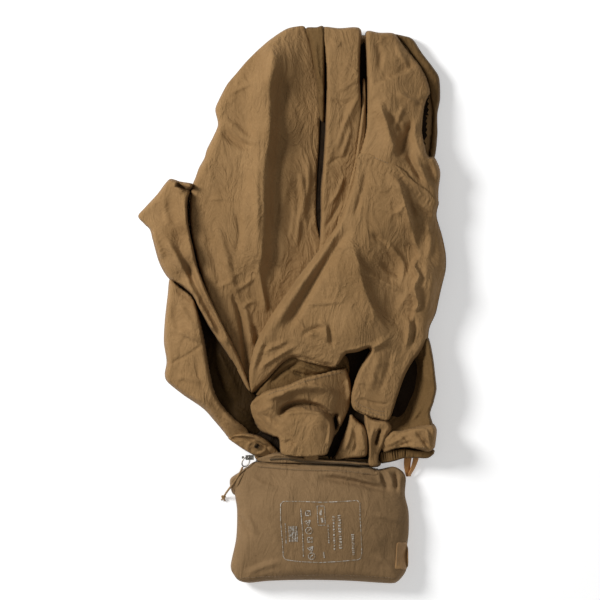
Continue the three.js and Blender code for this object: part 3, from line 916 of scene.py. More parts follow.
@dataclass
class JacketBody:
    """The big folds: back panel, front strip, flap, yoke, drape and the layers under them."""

    seam: Line = (
        (72, 326), (80, 327), (93, 322), (107, 316), (119, 309), (128, 298), (142, 286), (161, 275),
    )
    hem_line: Line = ((69, 53), (75, 47), (83, 44), (93, 41), (103, 40))
    drape: ClothField = field(init=False)
    yoke: ClothField = field(init=False)

    def __post_init__(self) -> None:
        """Set the fields that several methods share."""
        self.drape = ClothField(
            outline=(
                (72, 330, 2), (82, 333, 2), (95, 329, 2), (111, 322, 2), (124, 314, 2), (135, 302, 2),
                (150, 292, 2), (162, 280, 5), (161, 272, 6), (160, 262, 8), (166, 241, 10),
                (170, 221, 10), (170, 204, 10), (166, 187, 10), (163, 174, 10), (159, 156, 10),
                (152, 140, 8), (150, 127, 6), (142, 113, 5), (133, 102, 4), (124, 85, 4), (117, 65, 3),
                (107, 38, 2), (93, 40, 2), (82, 43, 2), (68, 51, 2), (65, 65, 3), (69, 80, 4),
                (75, 96, 4), (82, 107, 4), (86, 117, 5), (72, 113, 5), (60, 111, 4), (54, 103, 3),
                (48, 96, 2), (35, 97, 3), (21, 100, 3), (9, 103, 4), (1, 106, 5), (-8, 101, 5),
                (-17, 92, 5), (-26, 82, 5), (-35, 74, 5), (-45, 67, 4), (-48, 78, 5), (-47, 96, 6),
                (-42, 116, 7), (-35, 133, 7), (-23, 154, 7), (-7, 177, 7), (9, 199, 7), (27, 222, 7),
                (42, 242, 6), (52, 258, 5), (61, 283, 5), (68, 305, 4),
            ),
            crest=(
                (75, 319, 42), (64, 280, 44), (51, 248, 42), (29, 217, 42), (-2, 179, 42),
                (-26, 138, 40), (-40, 99, 34), (-39, 77, 26), (48, 220, 48), (42, 182, 50),
                (31, 148, 47), (9, 132, 42), (-13, 116, 38), (59, 132, 53), (75, 148, 56), (59, 204, 54),
                (86, 280, 48), (103, 297, 50), (111, 248, 45), (125, 237, 38), (119, 204, 33),
                (97, 182, 40), (114, 160, 34), (103, 138, 45), (89, 121, 46), (92, 94, 42), (86, 61, 36),
                (103, 72, 38), (119, 116, 38), (136, 148, 38), (150, 170, 33), (155, 215, 35),
                (150, 248, 36), (147, 275, 40), (136, 198, 44), (133, 170, 42), (53, 157, 53),
                (78, 226, 47), (89, 209, 42), (29, 102, 38), (47, 102, 40),
            ),
            creases=(
                Crease(((107, 314), (115, 302), (122, 287), (128, 260), (135, 237)), 5.0, 14, 6),
                Crease(((63, 242), (71, 217), (79, 186), (92, 155), (111, 128)), 4.0, 14, 8),
                Crease(((92, 240), (111, 226), (123, 209), (118, 182)), 2.8, 6, 5),
                Crease(((68, 221), (83, 200), (101, 190), (118, 182), (131, 175)), 2.2, 5, 6),
                Crease(((103, 262), (117, 267), (125, 273), (133, 248), (138, 219)), 3.0, 8, 4),
                Crease((
                    (140, 219), (134, 209), (139, 197), (134, 186), (139, 165), (131, 157),
                ), 3.6, 4, 4, fade=0.12),
                Crease((
                    (128, 241), (137, 219), (131, 208), (136, 195), (130, 182), (134, 164), (126, 142),
                ), -3.4, 22, 4, fade=0.15),
                Crease(((146, 226), (148, 198), (147, 170), (139, 146)), 1.8, 5, 14, True),
                Crease(((86, 245), (102, 232), (111, 223)), -2.4, 5, 6),
                Crease(((95, 212), (111, 201), (124, 193)), -2.2, 5, 6),
                Crease(((127, 155), (129, 138), (125, 116)), 2.6, 4, 4),
                Crease(((135, 157), (135, 138), (130, 118)), -2.2, 4, 4),
                Crease(((147, 264), (152, 237), (150, 212)), 2.4, 6, 6, True),
                Crease(((155, 204), (152, 176), (146, 151)), 2.0, 5, 7, True),
                Crease(((133, 280), (146, 267), (157, 263)), -2.2, 4, 4),
                Crease(((119, 296), (130, 275), (137, 256)), -2.8, 5, 6),
                Crease(((82, 319), (78, 292), (67, 256)), -2.0, 5, 5, True),
                Crease(((67, 252), (47, 226), (23, 188), (5, 157), (-10, 132)), -4.2, 10, 9, True, 0.2),
                Crease(((53, 245), (34, 217), (9, 184), (-13, 151), (-28, 120)), 2.4, 8, 8, True),
                Crease(((9, 168), (27, 166), (59, 169)), 1.2, 3, 4),
                Crease(((3, 154), (15, 138), (34, 129)), 1.8, 5, 5),
                Crease(((29, 151), (37, 140), (40, 123)), 2.4, 6, 5),
                Crease(((-2, 109), (14, 106), (31, 101), (49, 97)), -2.6, 3, 4, fade=0.15),
                Crease(((41, 146), (42, 131), (46, 116)), -2.4, 4, 5),
                Crease(((59, 111), (75, 114), (93, 120), (106, 129)), 2.6, 6, 7, fade=0.2),
                Crease(((9, 129), (23, 138), (40, 142)), -1.8, 4, 5),
                Crease(((-32, 113), (-17, 120), (-2, 127)), 1.6, 4, 5),
                Crease(((-39, 91), (-26, 102), (-8, 113), (9, 123)), 2.2, 5, 5),
                Crease(((-24, 129), (-32, 109), (-39, 87)), -1.8, 5, 5),
                Crease(((97, 116), (91, 91), (84, 65)), 1.2, 7, 7, True),
                Crease(((111, 121), (106, 96), (95, 63)), -1.2, 6, 6, True),
                Crease(((75, 63), (89, 58), (106, 56)), -1.2, 2.4, 2.4, fade=0.1),
                Puckers(self.hem_line, 0.7, 9, 4.2, False),
                Puckers(self.seam, 0.8, 12, 5.4, True),
                Crumple(11, 120, -62, 45, 0.62, 20, 4.2),
                Crumple(12, 30, -40, 60, 0.9, 34, 8.0),
            ),
        )
        self.yoke = ClothField(
            outline=(
                (82, 466, 5), (97, 465, 5), (113, 464, 5), (122, 453, 5), (131, 442, 5), (142, 429, 5),
                (150, 413, 5), (153, 399, 4), (149, 391, 3), (146, 380, 3), (144, 356, 3), (147, 340, 3),
                (150, 329, 4), (157, 328, 5), (162, 319, 6), (164, 309, 6), (162, 292, 6), (161, 274, 3),
                (152, 279, 2), (142, 286, 2), (128, 298, 2), (119, 309, 2), (107, 316, 2), (93, 322, 2),
                (80, 327, 2), (72, 324, 3), (76, 338, 4), (81, 358, 4), (82, 380, 5), (82, 413, 6),
                (81, 446, 6),
            ),
            crest=(
                (89, 459, 30), (87, 413, 34), (87, 369, 36), (82, 333, 40), (111, 451, 26),
                (130, 429, 26), (146, 404, 28), (114, 418, 34), (103, 385, 42), (115, 336, 44),
                (95, 341, 42), (130, 369, 36), (124, 338, 36), (139, 336, 40), (152, 308, 40),
                (141, 292, 42), (119, 316, 44), (114, 391, 40), (136, 391, 34), (159, 280, 36),
            ),
            creases=(
                Crease((
                    (87, 406), (102, 413), (115, 418), (128, 425), (140, 431),
                ), -2.2, 3, 16, fade=0.2),
                Crease(((93, 393), (102, 371), (109, 346), (116, 327)), 4.2, 12, 7),
                Crease(((134, 371), (128, 353), (122, 340), (116, 324)), -4.6, 9, 5),
                Crease(((106, 377), (115, 364), (124, 351)), -2.2, 5, 5),
                Crease(((139, 377), (135, 355), (139, 336), (150, 316)), 3.2, 6, 6),
                Crease(((131, 346), (138, 324), (146, 305), (157, 289)), 2.6, 6, 5),
                Crease(((124, 336), (133, 318), (146, 296)), -3.0, 5, 5),
                Crease(((115, 399), (128, 391), (141, 384)), 2.2, 5, 5),
                Crease(((124, 386), (117, 369), (111, 353)), 1.8, 5, 4),
                Crease(((93, 457), (97, 439), (95, 419)), -1.8, 6, 6, True),
                Crease(((113, 452), (122, 437), (128, 426)), 1.6, 4, 5),
                Crease(((148, 324), (155, 307), (159, 292)), -2.2, 5, 5, True),
                Crumple(21, 60, -70, 50, 0.7, 16, 4.2),
            ),
        )

    def base(self) -> None:
        """Lay the layers under every fold, near black as painted shade where they show between the folds, with a
        coyote rim at their edge.
        """
        cloth = ClothField(
            outline=(
                (8, 465, 6), (-21, 452, 6), (-45, 432, 6), (-65, 404, 6), (-78, 377, 6), (-80, 351, 6),
                (-91, 324, 6), (-105, 296, 6), (-131, 292, 5), (-151, 271, 5), (-162, 262, 4),
                (-150, 237, 5), (-140, 210, 5), (-133, 184, 5), (-135, 156, 5), (-137, 130, 5),
                (-135, 103, 5), (-130, 85, 5), (-96, 54, 5), (-72, 30, 5), (-46, 10, 4), (-37, -7, 3),
                (-2, -11, 3), (42, -12, 3), (95, -14, 3), (102, -1, 3), (142, 3, 4), (153, 23, 5),
                (151, 50, 5), (155, 76, 5), (153, 103, 5), (149, 130, 5), (157, 156, 5), (163, 183, 5),
                (167, 209, 5), (163, 235, 5), (158, 262, 5), (158, 292, 5), (155, 327, 5), (157, 352, 5),
                (159, 380, 5), (159, 407, 5), (150, 430, 5), (129, 454, 5), (111, 461, 5),
            ),
            crest=(
                (9, 435, 10), (-57, 358, 10), (-123, 258, 9), (9, 280, 11), (119, 391, 11),
                (141, 226, 11), (9, 116, 11), (-112, 116, 9), (-46, 28, 8), (119, 28, 8), (42, 16, 8),
            ),
            creases=(Crumple(1, 60, -80, 40, 0.6, 30, 7),),
            floor=0.4,
        )
        maker = SheetMaker(cloth, 3.6)
        edge = COYOTE.dress(maker.mesh("lower_layers_edge", cloth.outline, 0.5))
        self._keep_rim(edge, cloth, 9.0)
        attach(edge, "jacket")
        piece = maker.mesh("lower_layers", cloth.outline)
        # near black: painted shade where these layers show between the folds
        finish_sheet(piece, CAVITY_PAINTED_SHADOW, ["jacket_lower_layers"])

    @staticmethod
    def _keep_rim(piece: bpy.types.Object, cloth: ClothField, width: float) -> None:
        """Cut the middle out of a sheet.

        Args:
            piece: the sheet.
            cloth: the field it was cut from.
            width: width of the rim that stays, in millimetres.
        """
        border = smooth(cloth.outline, 3.6, closed=True)
        mesh = bmesh.new()
        mesh.from_mesh(piece.data)
        centres = np.array([face.calc_center_median() for face in mesh.faces])
        plan = (centres[:, :2] - np.array([PLACE.x, PLACE.y])) / MM
        far, _, _ = beside(plan, np.vstack([border, border[:1]]))
        middle = [face for face, gap in zip(mesh.faces, far) if gap > width]
        bmesh.ops.delete(mesh, geom=middle, context="FACES")
        mesh.to_mesh(piece.data)
        mesh.free()

    def back(self) -> None:
        """Lay the back panel and the strip folded over beside it."""
        cloth = ClothField(
            outline=(
                (6, 472, 5), (-6, 469, 6), (-23, 458, 8), (-37, 446, 9), (-50, 433, 9), (-61, 420, 9),
                (-71, 408, 9), (-80, 391, 9), (-84, 380, 8), (-81, 364, 8), (-86, 351, 9), (-93, 337, 9),
                (-96, 327, 9), (-102, 316, 8), (-106, 305, 6), (-111, 292, 5), (-113, 270, 5),
                (-111, 242, 5), (-103, 208, 5), (-92, 173, 5), (-78, 143, 5), (-61, 110, 5),
                (-46, 72, 4), (-32, 72, 4), (-15, 94, 5), (9, 132, 5), (34, 176, 5), (47, 212, 5),
                (34, 232, 6), (28, 253, 6), (27, 275, 6), (28, 308, 6), (30, 341, 6), (31, 369, 6),
                (32, 394, 6), (30, 413, 6), (26, 432, 5), (23, 450, 5), (18, 464, 5), (14, 472, 4),
            ),
            crest=(
                (-2, 461, 20), (-32, 432, 24), (-57, 402, 24), (-21, 435, 33), (-21, 413, 36),
                (-24, 358, 37), (-30, 314, 36), (-32, 270, 34), (-35, 226, 32), (5, 435, 24),
                (7, 369, 19), (14, 302, 17), (14, 248, 15), (-70, 380, 25), (-73, 336, 28),
                (-84, 280, 28), (-73, 226, 28), (-62, 170, 24), (-51, 116, 18), (-7, 182, 17),
                (-21, 138, 18), (-10, 402, 25), (-12, 336, 24), (-16, 270, 23), (-21, 204, 22),
                (-48, 358, 28), (-51, 302, 29),
            ),
            creases=(
                Crease((
                    (-20, 454), (-21, 432), (-24, 407), (-24, 383), (-25, 345), (-30, 319), (-31, 292),
                    (-30, 264), (-32, 226), (-35, 198),
                ), 4.8,
                       26, 12, fade=0.08),
                Crease((
                    (-10, 435), (-12, 380), (-15, 324), (-20, 275), (-23, 226), (-25, 182),
                ), -3.2, 10, 14, True, 0.15),
                Crease(((8, 324), (12, 302), (13, 280), (8, 253), (5, 220)), 2.6, 6, 4),
                Crease(((17, 336), (19, 302), (15, 275), (13, 242)), 2.2, 4, 4),
                Crease(((1, 292), (3, 264), (-2, 231)), 1.4, 4, 4),
                Crease(((-80, 361), (-70, 351), (-57, 342), (-42, 336)), -2.6, 7, 6, True),
                Crease(((-76, 372), (-61, 358), (-46, 346), (-30, 341)), 2.2, 6, 7, True),
                Crease(((-72, 395), (-57, 402), (-40, 410)), 1.4, 3, 5),
                Crease(((-96, 280), (-76, 282), (-54, 279)), 1.2, 3, 3),
                Crease(((-37, 336), (-38, 292), (-37, 248), (-39, 212)), 1.6, 7, 5, True),
                Crease(((-59, 275), (-57, 242), (-61, 212)), -1.4, 7, 7, True),
                Crease(((-85, 264), (-74, 226), (-65, 187), (-54, 151)), 2.0, 8, 7, True),
                Crease(((-37, 212), (-32, 182), (-27, 156)), 3.0, 7, 4, fade=0.15),
                Crease(((-67, 184), (-57, 154), (-52, 121), (-49, 88)), -4.4, 5, 5, fade=0.15),
                Crease(((-53, 170), (-47, 143), (-43, 113)), 2.4, 4, 5),
                Crease(((-76, 206), (-65, 197), (-52, 204)), 1.4, 3, 3),
                Crease(((-65, 179), (-50, 188), (-39, 197)), 1.8, 4, 4),
                Crease(((-85, 184), (-72, 188), (-59, 197)), 1.2, 4, 4),
                Crease(((-57, 160), (-46, 168), (-35, 170)), 1.5, 4, 3),
                Crease(((-43, 146), (-37, 132), (-39, 116)), -2.4, 4, 4),
                Crease(((-94, 253), (-87, 220), (-76, 182)), -1.4, 6, 6, True),
                Crumple(31, 120, -80, 30, 0.5, 24, 4.5),
                Crumple(32, 16, -75, 18, 0.8, 60, 10.0),
            ),
        )
        piece = SheetMaker(cloth).mesh("back_panel_cloth", cloth.outline)
        finish_sheet(piece, COYOTE, ["back_panel"])
        strip = ClothField(
            outline=(
                (16, 470, 3), (27, 471, 3), (36, 470, 3), (37, 435, 3), (37, 402, 3), (36, 369, 2),
                (31, 371, 3), (27, 407, 3), (21, 440, 3), (17, 459, 3),
            ),
            crest=(
                (20, 463, 20), (29, 463, 24), (29, 424, 24), (34, 391, 20), (23, 440, 20), (32, 374, 16),
            ),
            creases=(
                Crease(((17, 464), (20, 446), (25, 422), (29, 407), (32, 394)), -4.0, 2, 4, fade=0.1),
                Crease(((26, 463), (28, 435), (32, 404)), 1.6, 4, 3),
            ),
        )
        piece = SheetMaker(strip, 1.6).mesh("back_panel_fold_cloth", strip.outline)
        finish_sheet(piece, SHADED, ["back_panel_fold"])

    def front(self) -> None:
        """Lay the front strip and the storm flap."""
        strip = ClothField(
            outline=(
                (32, 470, 4), (53, 470, 4), (76, 469, 4), (76, 440, 3), (76, 410, 3), (78, 380, 3),
                (76, 346, 4), (73, 319, 4), (67, 286, 4), (59, 258, 4), (47, 226, 4), (29, 212, 4),
                (31, 237, 4), (32, 264, 4), (32, 292, 4), (35, 324, 4), (37, 358, 4), (38, 391, 4),
                (38, 418, 4), (36, 446, 4),
            ),
            crest=(
                (40, 463, 24), (64, 463, 26), (45, 424, 29), (67, 424, 31), (47, 380, 30), (67, 380, 30),
                (45, 336, 27), (64, 336, 25), (42, 292, 25), (58, 292, 22), (39, 248, 21), (53, 253, 20),
                (34, 220, 16),
            ),
            creases=(
                Crease(((76, 402), (67, 382), (58, 364), (52, 349), (50, 330)), 2.6, 6, 9),
                Crease(((37, 319), (43, 321), (51, 326), (64, 327)), -1.3, 3, 3),
                Crease(((51, 399), (64, 408), (75, 413)), 1.2, 4, 4),
                Crease(((41, 391), (59, 386), (73, 395)), -1.0, 4, 4),
                Crease(((60, 377), (54, 360), (49, 340)), -1.6, 4, 4),
                Crease(((67, 364), (60, 342), (53, 322)), 1.8, 4, 3),
                Crease(((43, 461), (50, 450), (56, 457)), 1.2, 4, 4),
                Crease(((59, 311), (51, 289), (40, 272)), 1.8, 4, 4),
                Crease(((56, 285), (47, 265), (36, 248)), -1.5, 4, 4),
                Crumple(41, 34, -65, 35, 0.8, 18, 4.5),
            ),
        )
        piece = SheetMaker(strip, 1.8).mesh("front_strip_cloth", strip.outline)
        finish_sheet(piece, COYOTE, ["front_strip"])
        flap = ClothField(
            outline=(
                (78, 413, 2), (82, 410, 2), (83, 380, 2), (82, 346, 3), (75, 319, 3), (71, 297, 3),
                (64, 275, 3), (60, 256, 3), (51, 245, 3), (49, 256, 3), (56, 275, 3), (63, 300, 3),
                (69, 324, 3), (73, 358, 3), (76, 385, 2),
            ),
            crest=(
                (80, 402, 26), (79, 369, 28), (74, 336, 30), (68, 302, 30), (60, 275, 28), (54, 256, 24),
            ),
            creases=(
                Crease(((80, 391), (76, 352), (69, 319), (60, 286)), 1.4, 3, 3, fade=0.1),
                Crease(((74, 302), (67, 283), (58, 263)), -2.4, 3, 3),
                Crumple(51, 12, -70, 25, 0.7, 12, 3.0),
            ),
        )
        piece = SheetMaker(flap, 1.5).mesh("storm_flap_cloth", flap.outline)
        finish_sheet(piece, COYOTE, ["storm_flap"])

    def shoulder(self) -> None:
        """Lay the shoulder's back edge and the yoke over it."""
        edge = ClothField(
            outline=(
                (113, 463, 3), (124, 462, 3), (134, 458, 4), (144, 443, 4), (157, 426, 4), (163, 415, 4),
                (164, 393, 4), (161, 375, 4), (161, 352, 4), (158, 328, 3), (151, 327, 3), (153, 346, 3),
                (155, 374, 3), (152, 393, 3), (148, 413, 3), (139, 430, 3), (126, 448, 3),
            ),
            crest=(
                (122, 459, 14), (137, 446, 16), (152, 421, 17), (159, 396, 17), (158, 369, 16),
                (157, 341, 15),
            ),
            creases=(Crumple(61, 14, -60, 30, 0.7, 16, 4.0),),
            floor=5.0,
        )
        piece = SheetMaker(edge, 1.8).mesh("shoulder_edge_cloth", edge.outline)
        finish_sheet(piece, SHADED, ["shoulder_edge"])
        piece = SheetMaker(self.yoke, 1.8).mesh("yoke_cloth", self.yoke.outline)
        seam = tuple((x + 0.4, y + 3.2) for x, y in self.seam[:-1])
        sewn = stitches("yoke_topstitch", seam, self.yoke.height, "jacket")
        finish_sheet(piece, COYOTE, ["shoulder_yoke"])

    def main_drape(self) -> None:
        """Lay the drape, the front facing that is its rolled edge, and the hem it runs down to."""
        maker = SheetMaker(self.drape, 1.8)
        inner = ((63, 264), (57, 245), (42, 221), (25, 195), (9, 170), (-3, 146), (-9, 124), (-9, 102))
        hem_top = ((78, 100), (93, 103), (113, 105), (134, 103))
        border = self.drape.outline
        whole = [tuple(p[:2]) for p in smooth(border, 4.0, closed=True)]
        split = self._split(whole, inner, hem_top)
        for name, outline, node in (
            ("main_drape_cloth", split[0], "main_drape"),
            ("front_facing_cloth", split[1], "front_facing"),
            ("hem_cloth", split[2], "hem_channel"),
        ):
            piece = maker.mesh(name, outline)
            maker.shade_from_field(piece)
            if node == "hem_channel":
                for number, down in enumerate((4.0, 8.0)):
                    row = tuple((x + 1.0, y + down) for x, y in self.hem_line)
                    stitches(f"hem_topstitch_{number + 1}", row, self.drape.height,
                                                "jacket")
            finish_sheet(piece, COYOTE, [node],
                         thick=False)

    @staticmethod
    def _split(whole: list, inner: Line, hem_top: Line) -> tuple[tuple, tuple, tuple]:
        """Cut the drape's outline into drape, facing and hem.

        Args:
            whole: the outline's points, in order.
            inner: the facing's inner fold, from its upper to its lower end.
            hem_top: the hem's upper line, from left to right.

        Returns:
            The three outlines.
        """
        at = np.array(whole)

        def nearest(place: tuple) -> int:
            """Return the number of the outline's point nearest to a place."""
            return int(np.argmin(np.linalg.norm(at - np.array(place[:2]), axis=1)))

        def stretch(start: int, end: int) -> list:
            """Return the outline's points from one number round to another."""
            if start <= end:
                return whole[start:end + 1]
            return whole[start:] + whole[:end + 1]

        upper, lower = nearest((inner[0][0] - 8, inner[0][1])), nearest(inner[-1])
        east, west = nearest(hem_top[-1]), nearest(hem_top[0])
        fold = [tuple(p[:2]) for p in smooth(inner, 4.0)]
        hem = [tuple(p[:2]) for p in smooth(hem_top, 4.0)]
        drape = stretch(upper, east) + hem[::-1][1:-1] + stretch(west, lower) + fold[::-1][1:]
        facing = stretch(lower, upper) + fold[:-1]
        bottom = stretch(east, west) + hem[1:-1]
        return tuple(drape), tuple(facing), tuple(bottom)

    def build(self) -> None:
        """Lay all the big folds."""
        self.base()
        self.back()
        self.front()
        self.shoulder()
        self.main_drape()


@dataclass
class Hood:
    """The rolled hood: inner folds, the crown with its seam, the tab and the folds at the mouth."""

    seam: Line = ((-26, 70), (-17, 74), (-7, 76), (12, 84), (35, 90), (57, 95), (82, 94))

    def inner(self) -> None:
        """Lay the folds behind the hood's seam."""
        cloth = ClothField(
            outline=(
                (-39, 65, 3), (-32, 78, 4), (-21, 91, 4), (-10, 105, 4), (7, 116, 4), (29, 120, 4),
                (47, 113, 4), (60, 109, 3), (64, 98, 3), (63, 85, 3), (63, 72, 3), (64, 58, 3),
                (58, 50, 3), (49, 52, 3), (20, 61, 3), (-13, 58, 3),
            ),
            crest=(
                (-21, 80, 26), (-7, 96, 29), (9, 102, 29), (29, 100, 27), (47, 102, 18), (58, 102, 12),
                (60, 82, 9), (60, 61, 8), (9, 77, 28),
            ),
            creases=(
                Crease(((-26, 76), (-13, 89), (1, 98), (14, 105)), -4.2, 4, 4),
                Crease(((1, 102), (14, 97), (29, 92), (47, 94)), 3.4, 4, 4),
                Crease(((-6, 96), (9, 89), (27, 87)), -3.0, 3, 3),
                Crease(((5, 109), (23, 102), (42, 100)), -2.4, 3, 3),
                Crease(((53, 109), (62, 98), (67, 85)), 2.0, 4, 4),
                Puckers(self.seam, 1.0, 10, 4.0, True),
                Crumple(71, 24, -20, 40, 0.8, 14, 4.0),
            ),
        )
        piece = SheetMaker(cloth, 1.6).mesh("hood_inner_folds", cloth.outline)
        finish_sheet(piece, SHADED, ["hood_seam_fold"])

    def crown(self) -> None:
        """Lay the puffed crown with the square turned-up panel on it."""
        cloth = ClothField(
            outline=(
                (-46, 56, 3), (-47, 47, 4), (-41, 36, 5), (-34, 26, 5), (-21, 20, 3), (-14, 18, 2),
                (-13, 6, 1.5), (-10, 0, 1.5), (5, -2, 1.5), (23, -2, 1.5), (38, 0, 1.5), (43, 10, 1.5),
                (49, 23, 2), (56, 34, 4), (63, 50, 4), (67, 65, 4), (65, 82, 4), (61, 95, 3),
                (57, 96, 2), (35, 91, 2), (12, 85, 2), (-7, 77, 2), (-26, 72, 3), (-38, 65, 3),
            ),
            crest=(
                (-37, 52, 26), (-26, 33, 28), (-15, 63, 42), (9, 72, 42), (34, 78, 38), (56, 80, 26),
                (60, 61, 22), (51, 44, 24), (9, 59, 36), (29, 57, 36), (-8, 50, 36), (-6, 41, 41),
                (12, 43, 41), (34, 41, 42), (37, 23, 41), (13, 25, 42), (-6, 23, 38), (-6, 6, 36),
                (14, 3, 38), (36, 6, 37), (-24, 50, 40), (45, 63, 32),
            ),
            creases=(
                Crease((
                    (-15, 42), (-9, 51), (1, 56), (14, 57), (29, 54), (40, 47), (48, 36), (50, 23),
                ), -9.0, 6, 4, fade=0.12),
                Crease(((-26, 58), (-13, 67), (5, 74), (25, 76), (42, 72), (53, 61)), 3.0, 8, 6, True),
                Crease(((-8, 45), (12, 48), (29, 47), (41, 44)), 1.8, 3, 4, fade=0.1),
                Crease(((41, 45), (42, 30), (40, 10)), 1.8, 3, 3, fade=0.1),
                Crease(((48, 47), (49, 32), (46, 12)), -12.0, 4, 4, fade=0.1),
                Crease(((-32, 47), (-19, 38), (-10, 28)), -2.2, 5, 5),
                Crease(((-8, 12), (-2, 16), (5, 10)), -2.0, 3, 3),
                Crease(((-30, 61), (-17, 65), (-2, 69)), 1.6, 4, 4),
                Crease(((-41, 45), (-28, 52), (-17, 56)), 1.5, 4, 4),
                Crease(((60, 87), (64, 72), (62, 56)), 2.4, 4, 3),
                Puckers(self.seam, 0.9, 9, 4.0, True),
                Crumple(81, 26, 15, 50, 0.8, 16, 5.0),
            ),
        )
        piece = SheetMaker(cloth, 1.6).mesh("hood_crown_cloth", cloth.outline)
        row = tuple((x + 0.5, y - 3.4) for x, y in self.seam[:-1])
        sewn = stitches("hood_topstitch", row, cloth.height, "jacket", 2.6)
        finish_sheet(piece, COYOTE, ["hood_crown"])

    def tab(self) -> None:
        """Lay the short tab that hangs from the square panel to the mouth."""
        cloth = ClothField(
            outline=(
                (13, 10, 1.5), (21, 10, 1.5), (30, 10, 1.5), (30, 2, 1.5), (29, -5, 1.5), (21, -6, 1.5),
                (14, -5, 1.5), (13, 2, 1.5),
            ),
            crest=((15, 8, 32), (28, 8, 32), (15, -3, 30), (28, -3, 30)),
            creases=(Crease(((14, 7), (21, 7), (29, 7)), -0.8, 1.5, 1.5, fade=0.05),),
            floor=24.0,
        )
        piece = SheetMaker(cloth, 1.2).mesh("hood_tab_cloth", cloth.outline)
        finish_sheet(piece, COYOTE, ["hood_tab"])

    def mouth_folds(self) -> None:
        """Lay the folds that run down into the pouch's mouth."""
        middle = ClothField(
            outline=(
                (65, 45, 3), (73, 38, 4), (82, 30, 4), (85, 16, 4), (83, -1, 3), (67, -4, 3),
                (47, -6, 3), (51, 6, 3), (57, 21, 3), (62, 34, 3),
            ),
            crest=((68, 33, 26), (75, 19, 32), (78, 3, 28), (64, 11, 28), (56, 0, 22)),
            creases=(
                Crease(((67, 38), (64, 21), (56, 0)), 2.6, 4, 4),
                Crease(((73, 32), (79, 16), (80, 0)), 2.0, 4, 4),
                Crease(((70, 28), (71, 12), (67, -1)), -2.2, 4, 4),
                Crumple(91, 12, -60, 40, 0.7, 12, 4.0),
            ),
        )
        right = ClothField(
            outline=(
                (80, 45, 3), (91, 40, 4), (106, 38, 4), (111, 28, 4), (104, 14, 4), (97, 1, 3),
                (95, -12, 2), (85, -12, 2), (84, 3, 3), (82, 21, 3),
            ),
            crest=((86, 34, 30), (100, 30, 32), (89, 16, 30), (100, 16, 26), (90, -1, 27), (90, -10, 25)),
            creases=(
                Crease(((98, 30), (95, 21), (92, 10)), -9.0, 2.6, 2.2, fade=0.2),
                Crease(((91, 34), (87, 16), (87, -6)), 2.0, 3, 3),
                Crease(((106, 32), (101, 19), (96, 3)), 2.0, 3, 3),
                Crumple(92, 10, -70, 40, 0.6, 12, 4.0),
            ),
        )
        piece = SheetMaker(middle, 1.5).mesh("mouth_fold_cloth_middle", middle.outline)
        finish_sheet(piece, COYOTE, ["mouth_fold_middle"])
        piece = SheetMaker(right, 1.5).mesh("mouth_fold_cloth_right", right.outline)
        finish_sheet(piece, COYOTE, ["mouth_fold_right"])

    def build(self) -> None:
        """Lay the hood."""
        self.inner()
        self.crown()
        self.tab()
        self.mouth_folds()


